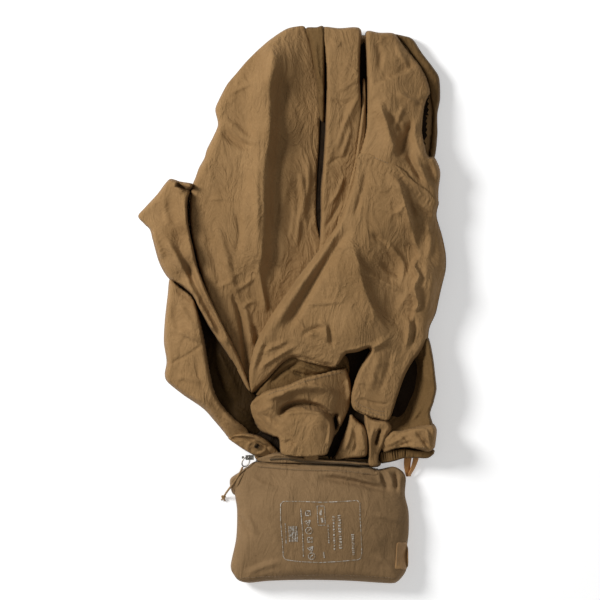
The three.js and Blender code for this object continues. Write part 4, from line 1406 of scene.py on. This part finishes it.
@dataclass
class Sleeves:
    """The left sleeve, the left front under it, the lining between, and the right sleeve with its cuff."""

    def left(self) -> None:
        """Lay the left front, the lining in the gap and the sleeve over them."""
        front = ClothField(
            outline=(
                (-134, 195, 4), (-137, 175, 6), (-140, 148, 7), (-141, 124, 7), (-138, 103, 7),
                (-140, 89, 6), (-137, 80, 5), (-120, 66, 6), (-98, 51, 6), (-86, 38, 6), (-75, 25, 5),
                (-69, 18, 3), (-59, 15, 3), (-46, 21, 3), (-50, 31, 3), (-61, 40, 3), (-74, 53, 4),
                (-84, 70, 4), (-90, 96, 4), (-96, 131, 4), (-103, 162, 3), (-109, 175, 3),
                (-123, 186, 3),
            ),
            crest=(
                (-123, 175, 22), (-125, 138, 26), (-106, 148, 31), (-105, 121, 33), (-123, 105, 27),
                (-101, 88, 33), (-120, 80, 26), (-98, 63, 31), (-83, 47, 26), (-65, 30, 22),
                (-54, 25, 18),
            ),
            creases=(
                Crease(((-137, 142), (-123, 136), (-109, 130), (-97, 124)), 2.4, 5, 6),
                Crease(((-134, 100), (-116, 109), (-97, 122)), -1.4, 2, 2, fade=0.1),
                Crease(((-129, 184), (-116, 175), (-101, 168)), -2.4, 5, 5),
                Crease(((-123, 170), (-116, 153), (-103, 138)), 1.8, 5, 5),
                Crease(((-131, 168), (-127, 148), (-123, 127)), -1.4, 5, 5),
                Crease(((-131, 85), (-114, 85), (-96, 78)), 1.6, 5, 5),
                Crease(((-105, 109), (-101, 85), (-92, 63)), -1.4, 5, 5),
                Crease(((-112, 69), (-94, 58), (-76, 41)), 1.8, 5, 5),
                Crease(((-76, 47), (-63, 34), (-50, 26)), 2.2, 4, 4),
                Crumple(101, 30, -65, 45, 0.8, 20, 5.0),
            ),
            floor=1.0,
        )
        piece = SheetMaker(front, 1.9).mesh("left_front_cloth", front.outline)
        finish_sheet(piece, COYOTE, ["front_left"])
        lining = ClothField(
            outline=(
                (-103, 175, 2), (-87, 155, 2), (-72, 127, 2), (-57, 98, 2), (-43, 72, 2), (-32, 58, 2),
                (-26, 34, 2), (-39, 21, 2), (-59, 28, 2), (-79, 47, 2), (-92, 74, 2), (-98, 105, 2),
                (-103, 138, 2),
            ),
            crest=(
                (-94, 142, 7), (-90, 129, 9), (-76, 113, 18), (-63, 91, 20), (-52, 66, 18),
                (-72, 72, 17), (-50, 44, 18), (-84, 94, 15), (-61, 50, 16), (-35, 33, 10),
            ),
            creases=(
                Crease(((-83, 122), (-72, 96), (-57, 65)), 2.4, 5, 5),
                Crease(((-85, 98), (-74, 69), (-57, 47)), -2.4, 5, 5),
                Crease(((-65, 56), (-52, 47), (-39, 34)), 2.0, 4, 4),
                Crumple(102, 16, -60, 30, 0.8, 16, 4.0),
            ),
            floor=3.0,
        )
        piece = SheetMaker(lining, 1.9).mesh("inner_lining_cloth", lining.outline)
        # the lining is coloured near black as painted shadow of the gap it lies in
        finish_sheet(piece, LINING_PAINTED_SHADOW, ["inner_lining"])
        sleeve = ClothField(
            outline=(
                (-169, 263, 4), (-160, 274, 6), (-148, 287, 6), (-139, 299, 5), (-133, 304, 4),
                (-122, 301, 4), (-108, 298, 3), (-111, 289, 3), (-114, 278, 3), (-113, 255, 3),
                (-108, 231, 3), (-103, 208, 3), (-96, 189, 3), (-89, 173, 3), (-76, 146, 3),
                (-64, 122, 3), (-53, 98, 3), (-43, 69, 2), (-51, 74, 3), (-63, 98, 3), (-80, 124, 3),
                (-92, 142, 3), (-102, 161, 3), (-109, 175, 4), (-122, 186, 5), (-134, 193, 5),
                (-141, 202, 6), (-147, 215, 6), (-153, 237, 6), (-156, 248, 5), (-162, 254, 4),
            ),
            crest=(
                (-158, 264, 20), (-145, 280, 27), (-134, 292, 30), (-120, 280, 36), (-116, 253, 37),
                (-109, 220, 37), (-101, 193, 37), (-141, 253, 28), (-131, 264, 27), (-131, 237, 33),
                (-122, 209, 34), (-108, 179, 34), (-138, 215, 28), (-125, 195, 26), (-123, 242, 28),
                (-112, 204, 29), (-93, 165, 35), (-81, 138, 34), (-68, 113, 31), (-53, 88, 26),
                (-94, 146, 32),
            ),
            creases=(
                Crease((
                    (-115, 285), (-115, 264), (-112, 237), (-105, 212), (-95, 184), (-81, 153),
                    (-65, 120),
                ), 3.0, 9, 3, fade=0.06),
                Crease((
                    (-138, 240), (-129, 223), (-119, 206), (-105, 170), (-93, 151), (-80, 131),
                ), 3.0, 7, 6, fade=0.12),
                Crease((
                    (-127, 237), (-120, 219), (-112, 201), (-103, 184), (-89, 157), (-72, 124),
                ), -2.6, 5, 5, True, 0.15),
                Crease(((-127, 298), (-120, 295), (-115, 292), (-108, 292)), -12.0, 4, 3, fade=0.1),
                Crease(((-131, 300), (-125, 294), (-116, 287)), 3.0, 5, 3),
                Crease(((-156, 252), (-147, 231), (-138, 212)), 1.6, 5, 5, True),
                Crease(((-142, 285), (-138, 267), (-134, 250)), 1.6, 6, 6, True),
                Crumple(111, 26, -70, 25, 0.6, 24, 5.0),
            ),
        )
        piece = SheetMaker(sleeve, 1.8).mesh("left_sleeve_cloth", sleeve.outline)
        finish_sheet(piece, COYOTE, ["sleeve_left"])

    def right(self) -> None:
        """Lay the right sleeve's inner fold and its gathered cuff."""
        inner = ClothField(
            outline=(
                (141, 129, 3), (151, 129, 4), (156, 109, 4), (159, 85, 4), (160, 72, 4), (157, 58, 4),
                (153, 45, 4), (156, 32, 4), (148, 23, 3), (128, 23, 3), (108, 21, 3), (102, 30, 3),
                (108, 50, 3), (117, 72, 3), (126, 94, 3), (133, 111, 3),
            ),
            crest=(
                (150, 113, 32), (153, 91, 34), (155, 72, 34), (149, 52, 32), (146, 34, 30), (138, 98, 9),
                (135, 74, 8), (128, 55, 8), (122, 38, 12), (115, 30, 18), (133, 34, 20),
            ),
            creases=(
                Crease(((144, 113), (146, 91), (152, 74)), 2.6, 4, 5),
                Crease(((146, 65), (139, 47), (130, 34)), 2.4, 4, 4),
                Crease(((128, 78), (124, 58), (115, 38)), -2.0, 4, 4),
                Crumple(121, 14, -70, 30, 0.8, 16, 4.0),
            ),
            floor=3.0,
        )
        piece = SheetMaker(inner, 1.7).mesh("right_sleeve_cloth", inner.outline)
        finish_sheet(piece, SHADED, ["sleeve_inner"])
        cuff = ClothField(
            outline=(
                (97, 10, 3), (102, 21, 4), (111, 28, 4), (122, 28, 4), (133, 31, 4), (144, 34, 5),
                (155, 35, 5), (160, 28, 5), (159, 14, 5), (157, 7, 4), (150, 3, 3), (137, 6, 3),
                (125, 8, 2), (113, 6, 2), (102, 2, 2),
            ),
            crest=(
                (108, 16, 30), (122, 19, 34), (135, 21, 43), (150, 23, 46), (152, 11, 43), (135, 10, 41),
                (119, 8, 35), (106, 6, 26),
            ),
            creases=(
                Crease(((135, 28), (142, 19), (151, 9)), -3.0, 3, 4),
                Crease(((130, 10), (140, 10), (151, 9)), 2.2, 3, 3),
                Crease(((102, 10), (115, 16), (128, 25)), 2.4, 4, 4),
                Crease(((111, 6), (122, 12), (135, 16)), -2.0, 3, 3),
                Crease(((148, 30), (150, 19), (152, 8)), 2.0, 3, 3),
                Crease(((115, 23), (124, 16), (128, 6)), 1.6, 3, 3),
                Puckers(((100, -1), (113, 2), (125, 4)), 1.2, 8, 3.2, False),
                Crumple(122, 18, 40, 60, 0.8, 12, 4.0),
            ),
            floor=8.0,
        )
        piece = SheetMaker(cuff, 1.4).mesh("cuff_cloth_puffed", cuff.outline)
        band = self.band()
        finish_sheet(piece, COYOTE, ["cuff_cloth"])

    def band(self) -> bpy.types.Object:
        """Make the cuff's elastic edge, ruched on the left and smooth on the right."""
        cloth = ClothField(
            outline=(
                (97, 3, 2), (106, 6, 2), (116, 7, 2), (125, 8, 2), (139, 6, 2), (156, 6, 2), (157, 1, 2),
                (150, -4, 2), (137, -4, 2), (125, -4, 2), (115, -7, 2), (106, -9, 2), (98, -9, 2),
            ),
            crest=((102, -2, 19), (115, 0, 23), (124, 1, 25), (139, 1, 27), (152, 1, 27)),
            creases=(
                Puckers(((98, 4), (115, 7), (125, 8)), 3.0, 22, 2.8, True),
                Crease(((125, 7), (125, 1), (125, -6)), -2.0, 1.6, 1.6, fade=0.05),
            ),
            floor=2.0,
        )
        piece = SheetMaker(cloth, 0.9).mesh("cuff_elastic_band", cloth.outline)
        SHADED.dress(piece)
        thicken(piece, 0.8)
        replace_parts(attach(piece, "jacket"), "cuff_elastic")
        LOG.info("cuff_elastic_band: ruched")
        return piece

    def drawcord_tab(self) -> None:
        """Lay the folded tab with the eyelet in it."""
        cloth = ClothField(
            outline=(
                (-70, 19, 2), (-59, 24, 3), (-46, 24, 3), (-32, 20, 3), (-23, 13, 2), (-14, 3, 2),
                (-19, -2, 2), (-37, -2, 2), (-48, 3, 2), (-59, 10, 2),
            ),
            crest=(
                (-63, 19, 22), (-48, 19, 24), (-35, 14, 24), (-39, 3, 20), (-24, 6, 18), (-52, 10, 22),
                (-17, 1, 14),
            ),
            creases=(
                Crease(((-67, 19), (-52, 19), (-39, 15), (-24, 7)), -3.0, 3, 3, fade=0.1),
                Crease(((-65, 21), (-50, 22), (-35, 19)), 1.8, 3, 3),
                Crease((
                    (-49, 10), (-47, 4), (-39, 1), (-30, 4), (-28, 11), (-35, 15), (-43, 15), (-49, 10),
                ), 1.4, 2.5, 2.5,
                       fade=0.05),
                Crumple(131, 10, 10, 40, 0.6, 12, 3.0),
            ),
        )
        piece = SheetMaker(cloth, 1.2).mesh("drawcord_tab_cloth", cloth.outline)
        finish_sheet(piece, COYOTE, ["drawcord_tab"])
        centre = ((-38, 10),)[0]
        tall = float(cloth.height(np.array([centre]))[0])
        turn = np.linspace(0, 2 * math.pi, 40)
        ring = np.stack([centre[0] + 2.6 * np.cos(turn), centre[1] + 2.3 * np.sin(turn),
                         np.full(40, tall + 0.5)], axis=1)
        rim = PAINTED.dress(tube("eyelet_rim", ring, 0.55, 10))
        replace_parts(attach(rim, "jacket"), "eyelet")
        hole = np.stack([centre[0] + np.cos(turn) * 1.1, centre[1] + np.sin(turn) * 1.0,
                         np.full(40, tall + 0.25)], axis=1)
        # a near-black disc in the eyelet's hole: painted shadow of the hole
        well = CAVITY_PAINTED_SHADOW.dress(tube("eyelet_well", hole, 1.15, 8, 0.2))
        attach(well, "jacket")

    def build(self) -> None:
        """Lay both sleeves."""
        self.left()
        self.right()
        self.drawcord_tab()


# ------------------------------------------------------------------------------------------ pouch


@dataclass
class Pouch:
    """The stuff pouch: pillow-shaped panels, lip, zip, print, tab and loop."""

    outline: Line = (
        (-39, -7, 5), (-50, -14, 8), (-59, -24, 12), (-63, -38, 16), (-60, -61, 18), (-61, -92, 18),
        (-67, -122, 14), (-63, -133, 10), (-57, -139, 8), (-46, -141, 8), (-26, -139, 12), (4, -138, 14),
        (34, -138, 14), (67, -139, 14), (97, -141, 10), (114, -141, 8), (123, -133, 8), (127, -124, 10),
        (126, -110, 14), (129, -87, 16), (129, -63, 16), (125, -44, 14), (126, -26, 8), (122, -18, 6),
        (112, -13, 5), (95, -16, 4), (82, -12, 4), (51, -10, 4), (23, -9, 4), (4, -9, 4), (-21, -8, 4),
    )
    front: ClothField = field(init=False)
    back: ClothField = field(init=False)

    def __post_init__(self) -> None:
        """Set the two panels' fields."""
        self.front = ClothField(
            outline=self.outline,
            crest=(
                (-32, -12, 20), (4, -14, 25), (51, -15, 26), (82, -19, 23), (108, -21, 18),
                (-46, -28, 25), (-51, -61, 31), (-50, -99, 31), (-52, -127, 26), (-24, -50, 37),
                (31, -44, 38), (86, -50, 36), (114, -61, 30), (-13, -94, 40), (42, -94, 41),
                (92, -94, 37), (117, -105, 28), (-13, -124, 37), (42, -124, 38), (97, -124, 33),
                (9, -28, 32), (59, -30, 32), (103, -36, 26),
            ),
            creases=(
                Crease(((20, -24), (42, -26), (67, -30), (93, -36), (115, -38)), -3.0, 5, 6, True),
                Crease(((31, -16), (59, -21), (86, -28), (102, -32)), 1.8, 5, 5, True),
                Crease(((-61, -63), (-52, -76), (-43, -91)), -2.0, 4, 4),
                Crease(((-57, -58), (-46, -72), (-37, -89)), 1.4, 4, 5, True),
                Crease(((95, -19), (102, -28), (106, -41)), -2.4, 4, 4),
                Crease(((104, -16), (109, -25), (111, -36)), 2.2, 3, 4),
                Crease(((113, -16), (116, -28), (115, -41)), -2.6, 3, 4),
                Crease(((119, -21), (119, -34), (122, -47)), 2.0, 4, 3),
                Crease(((93, -16), (97, -23), (97, -32)), 1.8, 3, 3),
                Crease(((-46, -23), (-32, -32), (-13, -38)), 1.4, 6, 6, True),
                Crease(((5, -14), (42, -14), (75, -16)), -1.2, 1.6, 1.6, fade=0.1),
                Crease(((-52, -132), (-32, -122), (-8, -116)), 1.6, 6, 6, True),
                Crease(((117, -132), (104, -118), (86, -107)), 1.6, 6, 6, True),
                Crease(((124, -72), (108, -69), (89, -63)), 1.2, 5, 5, True),
                Puckers(((-61, -139), (-26, -136), (34, -135), (113, -139)), 0.5, 10, 7.0, False),
                Crumple(141, 34, 20, 60, 0.7, 26, 8.0),
                Crumple(142, 22, 80, 40, 0.5, 18, 5.0),
            ),
            floor=13.0,
        )
        self.back = ClothField(
            outline=self.outline,
            crest=(
                (-35, -28, 11.5), (31, -22, 11.5), (103, -33, 11.5), (-46, -72, 11.8), (31, -72, 12.2),
                (114, -72, 11.8), (-40, -121, 11.5), (31, -116, 12), (103, -121, 11.5),
            ),
            creases=(Crumple(151, 20, 20, 60, 0.4, 24, 7.0),),
            floor=0.5,
        )

    def fill_shape(self) -> bpy.types.Object:
        """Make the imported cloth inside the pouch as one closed, padded form."""
        maker = SheetMaker(self.front, 3.0)
        shrunk = tuple(self._inset(4.0))
        top = maker.mesh("packed_cloth", shrunk, -1.6)
        data = top.data
        count = len(data.vertices)
        points = [v.co.copy() for v in data.vertices]
        faces = [tuple(p.vertices) for p in data.polygons]
        plan = np.array([[p.x, p.y] for p in points])
        heap = (plan - np.array([PLACE.x, PLACE.y])) / MM
        low = 13.0 - self.back.height(heap) + 1.6
        under = [Vector((p.x, p.y, min(z * MM, p.z - 0.0005))) for p, z in zip(points, low)]
        edges: dict[tuple[int, int], int] = {}
        for face in faces:
            for a, b in zip(face, face[1:] + face[:1]):
                edges[(a, b)] = edges.get((a, b), 0) + 1
        rim = [(a, b) for (a, b) in edges if (b, a) not in edges]
        faces += [tuple(count + k for k in reversed(face)) for face in faces]
        faces += [(b, a, count + a, count + b) for a, b in rim]
        closed = bpy.data.meshes.new("packed_cloth_form")
        closed.from_pydata([tuple(p) for p in points + under], [], faces)
        closed.polygons.foreach_set("use_smooth", [True] * len(closed.polygons))
        closed.update()
        top.data = closed
        return top

    def _inset(self, by: float) -> np.ndarray:
        """Return the outline drawn in by a distance."""
        line = smooth(self.outline, 4.0, closed=True)[:, :2]
        way = np.roll(line, -1, axis=0) - np.roll(line, 1, axis=0)
        way /= np.linalg.norm(way, axis=1)[:, None]
        area = np.sum(line[:, 0] * np.roll(line[:, 1], -1) - np.roll(line[:, 0], -1) * line[:, 1])
        inward = np.column_stack([-way[:, 1], way[:, 0]]) * (1 if area > 0 else -1)
        return line + inward * by

    def panels(self) -> None:
        """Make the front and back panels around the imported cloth."""
        packed = self.fill_shape()
        POUCH.dress(packed)
        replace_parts(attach(packed, "jacket"), "pouch_fill")
        front = SheetMaker(self.front, 1.8).mesh("pouch_front_cloth", self.outline)
        edge = tuple((x, y + 4.0) for x, y in (
            (-54, -139), (-26, -137), (34, -135), (75, -136), (113, -139),
        ))
        sewn = stitches("pouch_bottom_topstitch", edge, self.front.height, "jacket", 3.2)
        finish_sheet(front, POUCH, ["pouch_front_panel"])
        back = SheetMaker(self.back, 2.6).mesh("pouch_back_cloth", self.outline)
        for vertex in back.data.vertices:
            vertex.co.z = 0.013 - vertex.co.z
        back.data.flip_normals()
        finish_sheet(back, POUCH, ["pouch_back_panel"])

    def lip(self) -> None:
        """Turn the mouth's back lip over as a rolled band behind the zip."""
        cloth = ClothField(
            outline=(
                (-39, -4, 2), (-26, 1, 2), (-13, 3, 2), (12, -1, 2), (34, -4, 2), (59, -6, 2),
                (89, -9, 2), (96, -13, 2), (82, -12, 2), (51, -11, 2), (4, -10, 2), (-32, -9, 2),
            ),
            crest=((-32, -6, 18), (-13, -2, 22), (12, -6, 25), (53, -8, 26), (84, -11, 23)),
            creases=(
                Crease(((-30, -3), (-13, 0), (12, -4), (53, -8), (86, -11)), 1.6, 2.5, 2.5, fade=0.1),
            ),
            floor=10.0,
        )
        piece = SheetMaker(cloth, 1.2).mesh("mouth_lip", cloth.outline)
        POUCH.dress(piece)
        thicken(piece, 0.8)
        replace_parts(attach(piece, "jacket"), "zip_tape_back")
        for name, node, line, rise in (
            ("zip_coil_upper", "zip_coil_back", (
                (-24, -5), (-7, -4), (12, -7), (34, -8), (59, -9), (84, -12),
            ), 0.9),
            ("zip_coil_lower", "zip_coil_front",
             (
                 (-39, -7), (-26, -8), (-7, -9), (12, -10), (34, -11), (59, -12), (84, -14), (95, -16),
             ), 0.6),
        ):
            self.coil(name, node, line, cloth if node == "zip_coil_back" else self.front, rise)
        tape = (
            (-38, -9), (-18, -10), (9, -12), (53, -12), (84, -14), (94, -18), (91, -22), (53, -18),
            (9, -17), (-18, -15), (-37, -13),
        )
        piece = SheetMaker(self.front, 1.4).mesh("zip_tape_strip", tape, 0.5)
        POUCH.dress(piece)
        thicken(piece, 0.5)
        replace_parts(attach(piece, "jacket"), "zip_tape_front")
        stitches("zip_topstitch", ((-35, -13), (-18, -14), (9, -16), (53, -17), (89, -21)),
                 lambda p: self.front.height(p) + 0.6, "jacket", 2.6)

    @staticmethod
    def coil(name: str, node: str, line: Line, cloth: ClothField, rise: float) -> None:
        """Wind one side of the zip's coil along a line.

        Args:
            name: the piece's name.
            node: the CAD node it stands for.
            line: its route in plan.
            cloth: the cloth it is sewn on.
            rise: how far its middle stands off the cloth, in millimetres.
        """
        route = smooth(line, 0.25)[:, :2]
        core = np.column_stack([route, cloth.height(route) + rise])
        turn = np.arange(len(core)) * 0.25 / 1.7 * 2 * math.pi
        wound = core + np.column_stack([np.zeros(len(core)), np.cos(turn) * 0.95, np.sin(turn) * 0.75])
        piece = COIL.dress(tube(name, wound, 0.36, 5))
        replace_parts(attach(piece, "jacket"), node)
        LOG.info("%s: wound", name)

    def flap_and_tab(self) -> None:
        """Add the corner flap behind the cord and the label tab in the side seam."""
        flap = ClothField(
            outline=(
                (-48, -13, 2), (-57, -19, 2), (-67, -26, 3), (-68, -34, 3), (-65, -43, 3), (-60, -44, 3),
                (-53, -34, 2), (-46, -22, 2),
            ),
            crest=((-53, -21, 18), (-62, -30, 20), (-63, -38, 16), (-52, -30, 18)),
            creases=(Crease((
                (-50, -16), (-57, -28), (-62, -41),
            ), 2.0, 3, 3), Crumple(161, 6, -60, 30, 0.5, 8, 3.0)),
            floor=4.0,
        )
        piece = SheetMaker(flap, 1.1).mesh("corner_flap_cloth", flap.outline)
        finish_sheet(piece, POUCH, ["pouch_corner_flap"])
        outline = (
            (116, -97), (122, -96), (127, -97), (128, -111), (127, -125), (119, -125), (114, -124),
            (115, -111),
        )
        piece = SheetMaker(self.front, 1.2).mesh("side_tab_ribbon", outline, 0.5)
        TAB_RIBBON.dress(piece)
        thicken(piece, 0.6)
        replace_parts(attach(piece, "jacket"), "side_tab")
        stitches("side_tab_stitch", (
            (117, -99), (116, -111), (116, -123),
        ), lambda p: self.front.height(p) + 0.6,
                 "jacket", 2.2)

    def build(self) -> None:
        """Make the whole pouch."""
        self.panels()
        self.lip()
        self.flap_and_tab()


@dataclass
class CarePrint:
    """Generic printed care panel: a frame, rules, plain shapes and bars, with no lettering."""

    pouch: Pouch

    def stroke(self, points: Sequence[Sequence[float]], width: float, closed: bool = False) -> bpy.types.Object:
        """Print one line.

        Args:
            points: its corners in plan.
            width: in millimetres.
            closed: whether it runs back to its start.

        Returns:
            The line as a thin raised film.
        """
        at = np.asarray(points, float)
        if closed:
            at = np.vstack([at, at[:1]])
        run = np.concatenate([[0], np.cumsum(np.linalg.norm(np.diff(at, axis=0), axis=1))])
        places = np.linspace(0, run[-1], max(2, int(run[-1] / 1.2) + 1))
        route = np.stack([np.interp(places, run, at[:, k]) for k in (0, 1)], axis=1)
        way = np.gradient(route, axis=0)
        way /= np.maximum(np.linalg.norm(way, axis=1), 1e-9)[:, None]
        side = np.column_stack([-way[:, 1], way[:, 0]]) * width / 2
        both = np.vstack([route + side, route - side])
        tall = self.pouch.front.height(both) + 0.6
        count = len(route)
        data = bpy.data.meshes.new("stroke")
        faces = [(k, k + 1, count + k + 1, count + k) for k in range(count - 1)]
        data.from_pydata(PLACE.metres(np.column_stack([both, tall])).tolist(), [], [f[::-1] for f in faces])
        piece = bpy.data.objects.new("stroke", data)
        bpy.context.scene.collection.objects.link(piece)
        return piece

    def shapes(self) -> list[bpy.types.Object]:
        """Lay out the frame, rules, shapes and bars."""
        made = []
        frame_line = (
            (-9, -50), (9, -50), (34, -51), (59, -50), (72, -49), (75, -52), (75, -67), (76, -82),
            (77, -105), (76, -112), (73, -114), (51, -116), (31, -117), (9, -116), (-6, -114),
            (-9, -111), (-10, -94), (-12, -72), (-12, -53),
        )
        made.append(self.stroke(frame_line, 0.7, True))
        made.append(self.stroke(((10, -58), (12, -82), (13, -111)), 0.9))
        box = ((28, -55), (36, -55), (37, -76), (29, -76))
        made.append(self.stroke(box, 0.6, True))
        made.append(self.stroke(((32, -59), (32, -65)), 2.6))
        made.append(self.stroke(((33, -68), (34, -73)), 2.2))
        centres = ((18, -63), (18, -73), (19, -82), (20, -92), (21, -102), (22, -110))
        for number, (x, y) in enumerate(centres):
            sides = (4, 3, 24, 4, 3, 24)[number]
            turn = np.linspace(0, 2 * math.pi, sides, endpoint=False) + math.pi / 4
            ring = [(x + 3.6 * math.cos(a), y + 3.6 * math.sin(a)) for a in turn]
            made.append(self.stroke(ring, 1.0, True))
            made.append(self.stroke([(x - 1.4, y - 1.4), (x + 1.4, y + 1.4)], 1.0))
        chance = np.random.default_rng(5)
        for start, end, width in zip((
            (40, -75), (46, -66), (52, -65), (67, -86),
        ), ((41, -97), (47, -106), (54, -103), (68, -109)),
                                     (1.6, 2.2, 3.6, 3.0)):
            here = 0.0
            while here < 0.96:
                size = chance.uniform(0.03, 0.07)
                a = [start[k] + (end[k] - start[k]) * here for k in (0, 1)]
                b = [start[k] + (end[k] - start[k]) * min(1, here + size) for k in (0, 1)]
                made.append(self.stroke([a, b], width * chance.uniform(0.7, 1.0)))
                here += size + 0.03
        for number in range(6):
            a, b = ((-3, -77),)[0], ((-2, -94),)[0]
            step = number * 1.7
            made.append(self.stroke([(a[0] + step, a[1]), (b[0] + step, b[1])], 0.8 if number % 2 else 1.1))
        made.append(self.stroke(((-7, -74), (-6, -85), (-6, -96)), 0.7))
        made.append(self.stroke(((35, -105), (36, -112)), 1.4))
        return made

    def build(self) -> None:
        """Print the panel."""
        piece = INK.dress(joined("care_print_film", self.shapes()))
        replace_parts(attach(piece, "jacket"), "care_print")
        LOG.info("care_print_film: %d faces", len(piece.data.polygons))


@dataclass
class HangLoop:
    """The webbing loop that comes out at the pouch's shoulder: two legs and a turned eye."""

    thickness: float = 1.1

    def build(self) -> None:
        """Fold the webbing into its narrow loop."""
        low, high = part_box("hang_loop")
        corner = np.array([PLACE.x, PLACE.y, 0.0])
        lo = (np.array(low) - corner) / MM
        hi = (np.array(high) - corner) / MM
        parts = []
        for side, lean, level in ((0, -1, 3.0), (1, 1, 5.4)):
            top = np.array([lo[0] + (1.6 if side == 0 else 10.6), hi[1] + 6.0, 9.0])
            apex = np.array([(lo[0] + hi[0]) / 2 - 3.0, lo[1] + 1.0, level])
            line = np.linspace(top, apex, 22)
            share = np.linspace(0, 1, 22)
            line[:, 0] += lean * 1.4 * np.sin(share * math.pi)
            line[:, 2] += 2.0 * np.sin(share * math.pi)
            width = (4.4 if side == 0 else 3.4) * (1 - 0.3 * share)
            turn = np.radians(12 + 40 * share * (1 if side else 0.3))
            left = line - np.column_stack([width * np.cos(turn), np.zeros(22), -width * np.sin(turn)])
            right = line + np.column_stack([width * np.cos(turn), np.zeros(22), -width * np.sin(turn)])
            rows = [left + (right - left) * t for t in np.linspace(0, 1, 7)]
            for number, row in enumerate(rows):
                row[:, 2] += 0.35 * math.sin(number / 6 * math.pi)
            points = np.vstack(rows)
            faces = [(r * 22 + k, r * 22 + k + 1, (r + 1) * 22 + k + 1, (r + 1) * 22 + k)
                     for r in range(6) for k in range(21)]
            data = bpy.data.meshes.new("leg")
            points[:, 2] = np.maximum(points[:, 2], 1.4)
            data.from_pydata(PLACE.metres(points).tolist(), [], faces)
            leg = bpy.data.objects.new("leg", data)
            bpy.context.scene.collection.objects.link(leg)
            parts.append(leg)
        piece = WEBBING.dress(joined("hang_loop_webbing", parts))
        thicken(piece, self.thickness)
        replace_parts(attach(piece, "hang_loop"), "hang_loop")
        LOG.info("hang_loop_webbing: two legs")


@dataclass
class ZipHardware:
    """Slider, end stop and ring: CAD parts that keep their shape and get a worn metal finish."""

    parts: tuple[str, ...] = ("zip_slider", "zip_end_stop", "pull_ring")

    def build(self) -> None:
        """Dress each metal part."""
        for name in self.parts:
            METAL.dress(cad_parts[name])
            LOG.info("%s: metal finish", name)


def main() -> None:
    """Build the studio, the cord, the jacket and the pouch, in that order."""
    logging.basicConfig(level=logging.INFO, format="%(message)s")
    Studio().build()
    PullCord().build()
    JacketBody().build()
    Hood().build()
    Sleeves().build()
    pouch = Pouch()
    pouch.build()
    CarePrint(pouch).build()
    HangLoop().build()
    ZipHardware().build()


if __name__ == "__main__":
    main()
